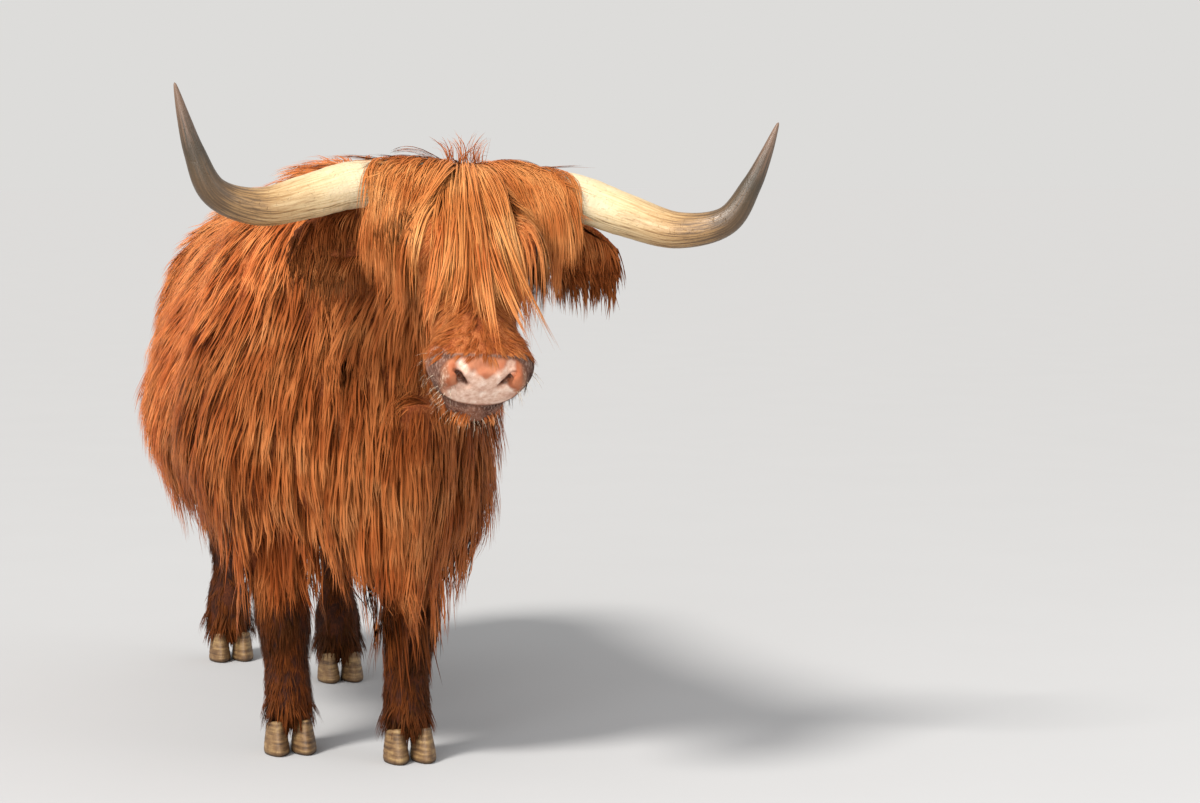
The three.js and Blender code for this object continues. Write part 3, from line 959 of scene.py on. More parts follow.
    def eyelids(self, side: int) -> bpy.types.Mesh:
        """Both lids of one eye: a thick rolled rim round an almond opening, a crease, and a hidden skirt.

        Args:
            side: 1 for the left, -1 for the right.

        Returns:
            The mesh.
        """
        out, along, upward = self.gaze(side)
        turn = np.linspace(0, 2 * math.pi, 72, endpoint=False)
        half_long, half_high = np.radians(41), np.radians(np.where(np.sin(turn) > 0, 23, 17))
        a, b = half_long * np.cos(turn), half_high * np.sin(turn) * (1 - 0.3 * np.cos(turn) ** 4)
        reach = np.hypot(a, b)
        rings = []
        for extra, radius in self.LID_SECTION:
            grown = (reach + math.radians(extra)) / reach
            ray = out + np.tan(a * grown)[:, None] * along + np.tan(b * grown)[:, None] * upward
            rings.append(np.asarray(self.eye) * [side, 1, 1] + unit(ray) * radius)
        points, faces = loft(np.array(rings), closed=True)
        return tidy_mesh("eyelids", self.frame.world(points), faces)

    def lashes(self, side: int) -> tuple[Array, Array, Array]:
        """Where the lashes of an upper lid start, which way they go, and which way they curl.

        Args:
            side: 1 for the left, -1 for the right.

        Returns:
            A start, a way and a lean for each lash.
        """
        rng = np.random.default_rng(LASH_SEED + side)
        out, along, upward = self.gaze(side)
        turn = rng.uniform(math.radians(14), math.radians(172), 46)
        a = math.radians(41) * np.cos(turn)
        b = math.radians(23) * np.sin(turn) * (1 - 0.3 * np.cos(turn) ** 4)
        ray = unit(out + np.tan(a)[:, None] * along + np.tan(b)[:, None] * upward)
        roots = np.asarray(self.eye) * [side, 1, 1] + ray * rng.uniform(20.6, 22.2, (len(turn), 1))
        way = unit(1.2 * ray + 0.1 * upward + 0.12 * rng.normal(0, 1, ray.shape)) @ self.frame.axes
        return self.frame.world(roots), way, np.tile(upward @ self.frame.axes, (len(turn), 1))

    def ear(self, side: int) -> bpy.types.Mesh:
        """One ear: a thin cupped leaf, held out level and open to the front.

        Args:
            side: 1 for the left, -1 for the right.

        Returns:
            The mesh.
        """
        spine = smooth_path(np.array([[96, -42, -60], [150, -50, -72], [225, -58, -88], [318, -52, -96]]), 22)
        share = np.linspace(0, 1, 22)
        half = profile([(0, 22), (0.2, 30), (0.5, 47), (0.75, 40), (0.93, 17), (1, 4)])(share)
        cup = profile([(0, 1.3), (0.25, 1.15), (0.6, 0.75), (1, 0.35)])(share)
        arc = np.linspace(-1, 1, 11)
        rings = []
        for at, wide, bend in zip(spine, half, cup):
            angle = arc * bend
            radius = wide / max(math.sin(bend), 0.2)
            leaf = [
                np.stack([0 * angle, (radius + t) * -np.cos(angle) + radius, (radius + t) * np.sin(angle)], 1)
                for t in (3.2, -2.4)
            ]
            ring = np.vstack([leaf[0], leaf[1][::-1]])
            rings.append(at + ring + [0, 0, -4])
        rings = np.array(rings) * [side, 1, 1]
        points, faces = loft(rings)
        return tidy_mesh("ear", self.frame.world(self.frame.from_level(points)), faces)


# ---- Skin ------------------------------------------------------------------------------------
class Region(Enum):
    """The parts of the hide that carry different hair."""

    TRUNK = 0
    NECK = 1
    FACE = 2
    JAW = 3
    POLL = 4
    EAR = 5
    FORELEG = 6
    HINDLEG = 7
    TAIL = 8
    SWITCH = 9
    UDDER = 10
    NOSE = 11


def part_of(weights: Array, *regions: Region) -> Array:
    """How much of each place lies in these regions."""
    return weights[:, [r.value for r in regions]].sum(axis=1)


@dataclass
class Hide:
    """The one skin of the cow: the body's flesh and the head's, as a single closed mesh."""

    head: HeadForm
    voxel: float = 0.013
    gap_closing: float = 0.0007
    rounds: int = 6
    depth: dict[Region, float] = field(
        default_factory=lambda: {
            Region.TRUNK: 0.040,
            Region.NECK: 0.046,
            Region.FORELEG: 0.020,
            Region.HINDLEG: 0.022,
            Region.TAIL: 0.020,
            Region.SWITCH: 0.040,
            Region.UDDER: 0.004,
        }
    )
    mesh: bpy.types.Mesh = field(init=False)
    weights: Array = field(init=False)

    SOURCES = {
        Region.TRUNK: ["trunk"],
        Region.NECK: ["neck"],
        Region.FORELEG: ["foreleg_right", "foreleg_left"],
        Region.HINDLEG: ["hindleg_right", "hindleg_left"],
        Region.TAIL: ["tail"],
        Region.SWITCH: ["tail_switch"],
        Region.UDDER: ["udder"],
    }

    # The hollows between neck and shoulder, each from its start to its end, and how deep and wide they are.
    FURROWS = (
        ((-0.19, -0.70, 0.90), (-0.18, -0.76, 0.62)),
        ((-0.18, -0.76, 0.62), (-0.14, -0.70, 0.50)),
        ((0.17, -0.68, 0.90), (0.17, -0.72, 0.62)),
    )
    FURROW_DEPTH = 0.042
    FURROW_REACH = 0.085

    def __post_init__(self) -> None:
        """Builds the mesh and finds which region each of its vertices is in."""
        self.mesh = self.united(self.trimmed(self.body()), self.head.mesh())
        self.weights = self.regions()

    def swollen(self, node: str) -> bpy.types.Mesh:
        """A copy of a node's mesh, grown a little so that it meets its neighbours.

        Args:
            node: the node's name.

        Returns:
            The copy.
        """
        work = bmesh.new()
        work.from_mesh(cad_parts[node].data)
        bmesh.ops.remove_doubles(work, verts=work.verts, dist=1e-6)
        work.normal_update()
        for v in work.verts:
            v.co += v.normal * self.gap_closing
        made = bpy.data.meshes.new(node)
        work.to_mesh(made)
        work.free()
        return made

    def body(self) -> bpy.types.Mesh:
        """The flesh of neck, trunk, legs and tail: the solids' outline, drawn in by the depth of the coat.

        Returns:
            The mesh.
        """
        parts = {node: region for region, nodes in self.SOURCES.items() for node in nodes}
        meshes = [self.swollen(node) for node in parts]
        shell = shown("shell", joined_mesh("shell", meshes))
        tree, owner = self.nearest_source(meshes, list(parts.values()))
        remesh = shell.modifiers.new("one_form", "REMESH")
        remesh.mode, remesh.voxel_size = "VOXEL", self.voxel
        mesh = finished(shell)
        edges = edges_of(mesh)
        points = relaxed(points_of(mesh), edges, 5)
        depth = np.zeros(len(points))
        owners = owner[[tree.find_nearest(Vector(p))[2] for p in points]]
        for region, value in self.depth.items():
            depth[owners == region.value] = value
        depth = relaxed(depth[:, None], edges, 14)[:, 0]
        by_height = profile(
            [(0.05, 0.35), (0.11, 0.75), (0.16, 0.55), (0.24, 0.75), (0.36, 1), (0.9, 1), (1.08, 0.45)]
        )
        depth *= by_height(points[:, 2])
        for start, end in self.FURROWS:
            depth += self.FURROW_DEPTH * rise(bar(start, end, 0.0, 0.0)(points), self.FURROW_REACH, 0.0)
        outer = points.copy()
        for _ in range(self.rounds):
            place_points(mesh, points)
            normal = relaxed(normals_of(mesh), edges, 3)
            normal[:, 2] *= rise(points[:, 2], 0.06, 0.12)
            points = points - unit(normal) * (depth / self.rounds)[:, None]
            points = relaxed(points, edges, 1, 0.4)
        keep = rise(outer[:, 2], 0.09, 0.05)[:, None]
        points[:, 2:] += (outer[:, 2:] - points[:, 2:]) * keep
        place_points(mesh, points)
        return mesh

    def trimmed(self, body: bpy.types.Mesh) -> bpy.types.Mesh:
        """The body's flesh without what wraps round the back of the head, which the head's own neck fills.

        Args:
            body: the body's flesh.

        Returns:
            What is left of it.
        """
        # The block, in millimetres: half its width, its front, and the height and back of its two ends.
        wide, ahead = 420, 620
        low, high = (-400, -95), (330, -255)
        corners = [(x, y, up) for up, back in (low, high) for x in (-wide, wide) for y in (back, ahead)]
        faces = np.array([[0, 1, 3, 2], [4, 6, 7, 5], [0, 4, 5, 1], [2, 3, 7, 6], [0, 2, 6, 4], [1, 5, 7, 3]])
        block = mesh_of("block", self.head.frame.world(self.head.frame.from_level(corners)), faces)
        turn_outwards(block)
        base, cutter = shown("skin_body", body), shown("block", block)
        cut = base.modifiers.new("trim", "BOOLEAN")
        cut.operation, cut.solver, cut.object = "DIFFERENCE", "MANIFOLD", cutter
        mesh = finished(base)
        bpy.data.objects.remove(cutter)
        return mesh

    @staticmethod
    def nearest_source(
        meshes: Sequence[bpy.types.Mesh], regions: Sequence[Region]
    ) -> tuple[BVHTree, Array]:
        """A tree of all the source faces, and the region that each face is in.

        Args:
            meshes: the sources.
            regions: the region of each of them.

        Returns:
            The tree, and one number for each face.
        """
        points, faces, owner, base = [], [], [], 0
        for mesh, region in zip(meshes, regions):
            points += [v.co for v in mesh.vertices]
            faces += [[base + i for i in p.vertices] for p in mesh.polygons]
            owner += [region.value] * len(mesh.polygons)
            base += len(mesh.vertices)
        return BVHTree.FromPolygons(points, faces), np.array(owner)

    def united(self, body: bpy.types.Mesh, head: bpy.types.Mesh) -> bpy.types.Mesh:
        """Body and head as one closed mesh, smoothed where they meet, with lids and ears.

        Args:
            body: the body's flesh.
            head: the head's flesh.

        Returns:
            The skin.
        """
        base, other = shown("skin_body", body), shown("skin_head", head)
        cut = base.modifiers.new("unite", "BOOLEAN")
        cut.operation, cut.solver, cut.object = "UNION", "MANIFOLD", other
        mesh = finished(base)
        bpy.data.objects.remove(other)
        bpy.data.meshes.remove(head)
        points = points_of(mesh)
        form = self.head.flesh()
        at = self.head.frame.face(points)
        near = (np.abs(at) < 470).all(axis=1)
        off = np.full(len(points), 99.0)
        off[near] = np.abs(form(at[near]))
        loose = rise(off, 0.3, 3)[:, None] * rise(np.abs(at).max(axis=1), 620, 420)[:, None]
        blurred = relaxed(loose, edges_of(mesh), 6)
        place_points(mesh, relaxed(points, edges_of(mesh), 14, 0.5 * np.minimum(blurred * 1.5, 1)))
        # The seam follows the trimming block's back face and its lower one, round the throat.
        level = self.head.frame.to_level(points)
        back = np.abs(level[:, 1] + 95 + 0.219 * (level[:, 2] + 400))
        under = np.abs(level[:, 2] + 400) + 200 * rise(level[:, 1], -95, -200)
        seam = rise(np.minimum(back, under), 85, 30) * rise(level[:, 2], -540, -450)
        seam *= np.maximum(rise(at[:, 2], 230, 130), rise(at[:, 1], -145, -185))
        place_points(mesh, relaxed(points_of(mesh), edges_of(mesh), 40, 0.5 * seam[:, None]))
        extras = [part(side) for side, _ in SIDES for part in (self.head.eyelids, self.head.ear)]
        return joined_mesh("skin", [mesh, *extras])

    def regions(self) -> Array:
        """A share of each region at each vertex.

        Returns:
            One row for each vertex and one column for each region.
        """
        points = points_of(self.mesh)
        sources = [self.swollen(n) for nodes in self.SOURCES.values() for n in nodes]
        owners = [region for region, nodes in self.SOURCES.items() for _ in nodes]
        tree, owner = self.nearest_source(sources, owners)
        found = owner[[tree.find_nearest(Vector(p))[2] for p in points]]
        at = self.head.frame.face(points)
        level = self.head.frame.to_level(points)
        head = (rise(at[:, 2], -110, -60) > 0.5) & (at[:, 2] + 0.62 * at[:, 1] > -150) & (at[:, 1] > -235)
        head &= (np.abs(at[:, 0]) < 190) & (at[:, 2] < 470) & (level[:, 1] > -120)
        ear = (np.abs(level[:, 0]) > 118) & (np.abs(level[:, 0]) < 330) & (level[:, 1] > -130)
        ear &= (level[:, 2] < -22) & (level[:, 2] > -170) & (np.abs(level[:, 1] + 52) < 60)
        # Later rows win over earlier ones.
        found[head] = Region.FACE.value
        found[head & (at[:, 1] < -62)] = Region.JAW.value
        found[head & (at[:, 2] < 84) & (at[:, 1] > -8)] = Region.POLL.value
        found[head & (at[:, 2] > 366 - 0.1 * np.abs(at[:, 0])) & (at[:, 1] > -70)] = Region.NOSE.value
        found[ear] = Region.EAR.value
        share = np.eye(len(Region))[found]
        return relaxed(share, edges_of(self.mesh), 3)


@dataclass
class Nearness:
    """How far places near the cow are from its skin and horns, and which way is out, kept on a grid."""

    origin: Array
    cell: float
    table: Array

    @classmethod
    def of(cls, points: Array, normals: Array, cell: float = 0.015, reach: int = 7) -> Nearness:
        """Measures a band of cells round the surface.

        Args:
            points: places on the surface.
            normals: the way out at each of them.
            cell: the grid's step.
            reach: how many cells out from the surface are measured.

        Returns:
            The grid.
        """
        origin = points.min(axis=0) - cell * (reach + 2)
        shape = tuple(np.ceil((points.max(axis=0) - origin) / cell).astype(int) + reach + 3)
        near = np.zeros(shape, bool)
        near[tuple(((points - origin) / cell).round().astype(int).T)] = True
        for k in range(3):
            grown = near.copy()
            for step in range(1, reach + 1):
                grown |= np.roll(near, step, axis=k) | np.roll(near, -step, axis=k)
            near = grown
        tree = KDTree(len(points))
        for i, p in enumerate(points):
            tree.insert(p, i)
        tree.balance()
        wanted = np.argwhere(near)
        places = origin + wanted * cell
        found = np.array([tree.find(p)[1] for p in places])
        off = places - points[found]
        away = np.linalg.norm(off, axis=1)
        flat = np.sum(off * normals[found], axis=1)
        signed = np.where(np.abs(flat) > 0.35 * away, np.sign(flat) * away, flat)
        value = np.full(shape, cell * reach)
        value[near] = signed
        slope = np.stack(np.gradient(value, cell), axis=-1)
        return cls(origin, cell, np.concatenate([value[..., None], slope], axis=-1).astype(np.float32))

    def at(self, places: Array) -> tuple[Array, Array]:
        """The distance from the surface at each place, and the way out.

        Args:
            places: the places.

        Returns:
            The distances and the ways out.
        """
        shape = np.array(self.table.shape[:3])
        q = np.clip((places - self.origin) / self.cell, 0, shape - 1.001)
        base = q.astype(int)
        share = q - base
        total = np.zeros((len(places), 4))
        for i in (0, 1):
            for j in (0, 1):
                for k in (0, 1):
                    weight = np.prod(np.where([i, j, k], share, 1 - share), axis=1)
                    total += weight[:, None] * self.table[base[:, 0] + i, base[:, 1] + j, base[:, 2] + k]
        return total[:, 0], total[:, 1:]


# ---- The lie of the coat ---------------------------------------------------------------------
@dataclass(frozen=True)
class Lay:
    """Which way the hair lies at each place on the cow."""

    frame: HeadFrame
    spine_x: float
    poll_x: float
    withers_y: float
    poll_y: float

    WHORL = (0.0, 40.0, -88.0)

    @classmethod
    def of_frame(cls, frame: HeadFrame) -> Lay:
        """Finds the line of the back from the frame."""
        low, high = node_box("trunk")
        return cls(frame, float(low[0] + high[0]) / 2, float(frame.origin[0]), -0.25, float(frame.origin[1]))

    def back_line(self, y: Array) -> Array:
        """How far out the middle of the back is at each place along the body."""
        bend = rise(y, self.withers_y, self.poll_y)
        return self.spine_x + (self.poll_x - self.spine_x) * bend

    def away(self, p: Array) -> Array:
        """-1 to 1 from the right side of the back to its left side."""
        return np.clip((p[:, 0] - self.back_line(p[:, 1])) / 0.07, -1, 1)

    @staticmethod
    def swirl(p: Array) -> Array:
        """A slow drift of the lie to either side, between about -1 and 1.

        Args:
            p: the places.

        Returns:
            The drift.
        """
        x, y, z = (p * 2 * math.pi).T
        slow, quick = 0.4 * np.sin(3.1 * y + 1.7 * z + 2), 0.35 * np.sin(4.7 * z - 2.6 * y)
        return slow + quick + 0.25 * np.sin(6 * y + 5 * x + 1)

    def body(self, p: Array, n: Array) -> Array:
        """Out and back over the top of the body, and down its sides.

        Args:
            p: the places.
            n: the way out of the skin at each place.

        Returns:
            The ways.
        """
        top = np.clip(n[:, 2], 0, 1)
        back = 0.30 + 0.25 * rise(p[:, 1], 0.4, 0.9) - 0.2 * rise(p[:, 1], -0.3, -0.6) + 0.5 * top**2
        raw = np.stack([0.7 * self.away(p) * top, back + 0.22 * self.swirl(p), 0.5 * top - 1], axis=1)
        return across(raw, n)

    def poll(self, p: Array, n: Array) -> Array:
        """Out from the whorl on all sides: over the brow, along the horns and down the nape.

        Args:
            p: the places.
            n: the way out of the skin at each place.

        Returns:
            The ways.
        """
        at = self.frame.face(p)
        off = at - self.WHORL
        raw = np.stack([1.15 * off[:, 0], np.zeros(len(p)), off[:, 2]], axis=1)
        raw = raw / (np.linalg.norm(raw, axis=1, keepdims=True) + 12)
        return across(raw @ self.frame.axes, n)

    def head(self, p: Array, n: Array) -> Array:
        """Down the bridge of the nose, and from it out over the cheeks and back under the jaw.

        Args:
            p: the places.
            n: the way out of the skin at each place.

        Returns:
            The ways.
        """
        at = self.frame.face(p)
        side = np.clip(at[:, 0] / 26, -1, 1)
        bridge = 1 - rise(np.abs(at[:, 0]), 10, 48)
        high = 1 - rise(at[:, 2], 60, 150)
        raw = np.stack(
            [
                side * (0.9 - 0.6 * high),
                -0.75 * (1 - bridge) * np.ones(len(p)) - 0.15,
                0.15 + 0.95 * np.maximum(bridge, high) - 0.5 * rise(at[:, 1], -20, -90),
            ],
            axis=1,
        )
        return across(raw @ self.frame.axes + 0.25 * DOWN, n)

    def ear(self, p: Array, n: Array) -> Array:
        """Along the ear to its tip, and down.

        Args:
            p: the places.
            n: the way out of the skin at each place.

        Returns:
            The ways.
        """
        level = self.frame.to_level(p)
        raw = np.sign(level[:, :1]) * self.frame.level[0] * 0.8 + DOWN * 0.9
        return across(raw, n)

    def leg(self, p: Array, n: Array) -> Array:
        """Down, and a little back."""
        raw = np.tile([0.0, 0.16, -1.0], (len(p), 1))
        return across(raw, n)

    def at(self, p: Array, n: Array, weights: Array) -> Array:
        """The lie of the hair, mixed from the regions that a place is in.

        Args:
            p: the places.
            n: the way out of the skin at each place.
            weights: each place's share of the regions.

        Returns:
            Unit vectors along the skin.
        """
        total = np.zeros_like(p)
        for way, regions in (
            (self.body, (Region.TRUNK, Region.NECK, Region.UDDER)),
            (self.head, (Region.FACE, Region.JAW, Region.NOSE)),
            (self.poll, (Region.POLL,)),
            (self.ear, (Region.EAR,)),
            (self.leg, (Region.FORELEG, Region.HINDLEG, Region.TAIL, Region.SWITCH)),
        ):
            share = part_of(weights, *regions)
            some = share > 0.01
            total[some] += share[some, None] * unit(way(p[some], n[some]))
        return unit(total)


@dataclass(frozen=True)
class Markings:
    """Where the coat is dark, fair or bare, the same for skin and hair; some dark marks are painted shade and
    some fair ones painted light.
    """

    frame: HeadFrame
    lay: Lay

    def dark(self, p: Array) -> Array:
        """Darker brown low on the legs and at the feet, partly the hair's own colour and partly painted
        shade; darker under the throat and down the nose; painted shade on the ears, behind the cheeks and in
        the furrows between neck and shoulder.

        Args:
            p: the places.

        Returns:
            A share from 0 to 1 for each place.
        """
        at = self.frame.face(p)
        # Low on the legs: partly the hair's own darker colour, partly painted shade from the body above.
        low = 0.3 * rise(p[:, 2], 0.60, 0.48) + 0.7 * rise(p[:, 2], 0.40, 0.28)
        throat = rise(at[:, 1], -70, -120) * rise(at[:, 2], -60, 40) * rise(at[:, 2], 480, 400)
        level = self.frame.to_level(p)
        out = np.abs(level[:, 0])
        # Painted shade on the ears, much stronger on the right ear, whose inside lies in shade.
        ear = rise(out, 130, 230) * rise(level[:, 2], -10, -60) * rise(level[:, 2], -330, -200)
        ear = ear * rise(np.abs(level[:, 1] + 40), 120, 70) * rise(out, 420, 380)
        ear = ear * np.where(level[:, 0] < 0, 0.55 + 0.4 * rise(level[:, 0], -250, -350), 0.12)
        # Painted shade on the neck just behind the cheeks, where the head shades it.
        behind = rise(level[:, 1], 40, 0) * rise(level[:, 1], -190, -110) * rise(level[:, 2], -60, -140)
        behind = behind * rise(out, 240, 150) * rise(at[:, 1], -60, -110)
        # Painted shade in the furrows between neck and shoulder.
        furrow_shade = np.max([rise(bar(a, b, 0.0, 0.0)(p), 0.05, 0.015) for a, b in Hide.FURROWS], axis=0)
        bridge = 0.35 * rise(at[:, 2], 130, 240) * rise(at[:, 1], -60, -10)
        marks = [low, 0.45 * throat, ear, 0.2 * behind, 0.6 * furrow_shade, bridge]
        return np.clip(np.max(marks, axis=0), 0, 1)

    def fair(self, p: Array) -> Array:
        """The golden hair of the back, the flanks, the tail and the fringe, with painted light on the shaded
        chest and cheeks.

        Args:
            p: the places.

        Returns:
            A share from 0 to 1 for each place.
        """
        at = self.frame.face(p)
        head = rise(at[:, 2], 170, 40) * rise(at[:, 1], 0, 60) * rise(np.abs(at[:, 0]), 260, 160)
        back = 0.5 * rise(p[:, 2], 0.95, 1.16) * rise(p[:, 1], -0.55, -0.2)
        flank = 0.15 * rise(p[:, 1], -0.1, 0.3) * rise(p[:, 2], 0.6, 0.9)
        tail = 0.35 * rise(p[:, 1], 0.86, 0.93) * rise(p[:, 2], 0.7, 0.4)
        # Painted light: the chest and the cheeks are made paler to lift the shade that falls on them.
        chest = 0.15 * rise(p[:, 1], -0.25, -0.5) * rise(p[:, 2], 0.42, 0.6)
        cheek = 0.08 * rise(at[:, 2], 20, 90) * rise(at[:, 2], 380, 300) * rise(at[:, 1], -120, -80)
        marks = [head, back, flank, tail, chest, cheek * rise(at[:, 1], 60, 20)]
        return np.clip(np.max(marks, axis=0), 0, 1)

    def bare(self, p: Array) -> dict[str, Array]:
        """Where the nose is bare, its dark rim, the ruddy wings of the nostrils, and the lids; the rim's
        share also carries painted shade in the nostrils, along the mouth and on the chin.

        Args:
            p: the places.

        Returns:
            The shares by name.
        """
        at = self.frame.face(p)
        x, lift = np.abs(at[:, 0]), at[:, 1] - 2
        ahead = at[:, 2] - 440
        up, proud = 0.922 * lift - 0.387 * ahead, 0.387 * lift + 0.922 * ahead
        near = rise(proud, -62, -34) * rise(up, -84, -74)
        side = profile([(-80, 78), (-50, 100), (-20, 112), (10, 112), (30, 102), (50, 84)])(up) - x
        inside = np.minimum(side, 51 - 0.0014 * x**2 - up)
        within = rise(inside, -1, 2) * near
        edge = np.minimum(side - 32 - 4 * rise(up, 0, -40), 46.5 - 0.0014 * x**2 - up)
        edge = np.minimum(edge, proud + 32 + 0.2 * up)
        rim = rise(edge, 5, -4) * within
        nx, ny = HeadForm.nostril
        hole = np.hypot(((x - nx) - 0.72 * (up - ny - 2)) * 0.9, (up - ny - 2) * 0.52)
        # Painted shade inside each nostril, drawn in the rim's dark colour.
        rim = np.maximum(rim, 0.9 * rise(hole, 11, 6) * rise(proud, 0, -5) * near)
        # Painted shade along the mouth's crease and on the chin under it, in the rim's dark colour.
        mouth = np.exp(-(((at[:, 1] - HeadForm.mouth_line) / 5) ** 2)) * rise(at[:, 2], 300, 330)
        chin = rise(at[:, 1], -62, -68) * rise(at[:, 1], -125, -100) * rise(at[:, 2], 330, 380)
        lids = rise(HeadForm.eye_distance(at), 27.5, 25.5)
        open_skin = np.maximum(within, np.clip(np.max([rim, 0.9 * mouth, lids], axis=0), 0, 1))
        rim = np.clip(np.max([rim, 0.9 * mouth, 0.85 * chin], axis=0), 0, 1) * (1 - lids)
        wedge = profile([(8, -6), (12, 1), (20, 16), (30, 31), (45, 46)])(up)
        blur = 3 * np.sin(at[:, 0] * 0.31 + 1) * np.sin(at[:, 1] * 0.27)
        hairy = rise(x + blur, wedge + 9, wedge - 9) * rise(up, 2, 16)
        pale_half = profile(
            [(-80, 62), (-50, 64), (-30, 64), (-14, 58), (-2, 40), (8, 34), (16, 38), (24, 50), (34, 52)]
        )
        pale = pale_half(up)
        pad = rise(x + blur, pale + 10, pale - 10) * within * (1 - 0.95 * hairy) * (1 - rim)
        lip = rise(x + blur, 64, 82) * within * (1 - rim)
        wing = within * (1 - pad) * (1 - rim) * (1 - lip)
        return {"pad": pad, "rim": rim, "wing": wing, "lip": lip, "lid": lids, "bare": open_skin}


# ---- Locks of hair ---------------------------------------------------------------------------
@dataclass(frozen=True)
class LockStyle:
    """How the hair of one part of the coat grows. Lengths in metres.

    Attributes:
        spacing: the mean distance between locks.
        strands: how many strands a lock has.
        length: how long a lock is.
        width: how wide a strand is.
        segments: how many steps a lock has.
        stand: how far the locks stand off the skin.
        lift: how steeply they leave it.
        droop: how strongly their ends hang.
        hang: the share of its length at which a lock droops in full.
        cling: how firmly a lock that stands too far off is drawn back.
        wave: how far the strands swing.
        wave_length: how long one swing is.
        spread: how far apart the strands of a lock start.
        gather: how much they draw together towards the tip.
        frizz: how far single strands stray.
        turn: how much locks turn from the lie of the coat.
        flat: how flat the strands are shaded, 0 or less for hair that is seen from both sides.
        even: the sharpest kink that a strand may have, as the cosine of its turn.
        clear: how far the strands stay off the skin.
    """

    spacing: float
    strands: int
    length: float
    width: float
    segments: int = 4
    stand: float = 0.03
    lift: float = 0.5
    droop: float = 0.35
    hang: float = 1.0
    cling: float = 0.6
    wave: float = 0.006
    wave_length: float = 0.06
    spread: float = 0.010
    gather: float = 0.6
    frizz: float = 0.003
    turn: float = 0.10
    flat: float = 1.1
    even: float = 0.72
    clear: float = 0.003


@dataclass
class Roots:
    """Places on the skin where locks start."""

    points: Array
    normals: Array
    patch: Array
    weights: Array


class Follicles:
    """The skin's triangles, ready to be sown with roots."""

    def __init__(self, mesh: bpy.types.Mesh, weights: Array) -> None:
        """Reads the mesh.

        Args:
            mesh: the skin, with its unwrap.
            weights: a share of each region at each vertex.
        """
        mesh.calc_loop_triangles()
        count = len(mesh.loop_triangles)
        corner, loop = np.empty(count * 3, np.int32), np.empty(count * 3, np.int32)
        mesh.loop_triangles.foreach_get("vertices", corner)
        mesh.loop_triangles.foreach_get("loops", loop)
        flat = np.empty(len(mesh.loops) * 2, np.float32)
        mesh.uv_layers[UNWRAP].data.foreach_get("uv", flat)
        self.corner = corner.reshape(-1, 3)
        self.points, self.normals, self.weights = points_of(mesh), normals_of(mesh), weights
        self.patch = flat.reshape(-1, 2)[loop.reshape(-1, 3)]
        a, b, c = (self.points[self.corner[:, k]] for k in range(3))
        self.area = np.linalg.norm(np.cross(b - a, c - a), axis=1) / 2
        self.middle = (a + b + c) / 3
        self.share = weights[self.corner].mean(axis=1)
        self.order = np.argsort(self.along_a_winding_line(self.middle))

    @staticmethod
    def along_a_winding_line(p: Array) -> Array:
        """A number for each place on a line that winds through space, so that neighbours stay close.

        Args:
            p: the places.

        Returns:
            The numbers.
        """
        q = ((p - p.min(axis=0)) / 0.03).astype(np.int64)
        code = np.zeros(len(p), np.int64)
        for bit in range(8):
            for k in range(3):
                code |= ((q[:, k] >> bit) & 1) << (3 * bit + k)
        return code

    def sow(self, density: Array, spacing: float, rng: np.random.Generator) -> Roots:
        """Roots spread evenly over the skin.

        Args:
            density: how thickly each triangle is sown, 1 for the plain spacing.
            spacing: the mean distance between roots.
            rng: the source of chance.

        Returns:
            The roots.
        """
        order = self.order
        total = np.cumsum((self.area * density)[order])
        count = max(int(total[-1] / spacing**2), 1)
        wanted = (np.arange(count) + rng.random(count)) * total[-1] / count
        chosen = order[np.searchsorted(total, wanted)]
        u, v = rng.random(count), rng.random(count)
        flip = u + v > 1
        u[flip], v[flip] = 1 - u[flip], 1 - v[flip]
        share = np.stack([1 - u - v, u, v], axis=1)[..., None]
        corner = self.corner[chosen]
        return Roots(
            (self.points[corner] * share).sum(axis=1),
            unit((self.normals[corner] * share).sum(axis=1)),
            (self.patch[chosen] * share).sum(axis=1),
            (self.weights[corner] * share).sum(axis=1),
        )


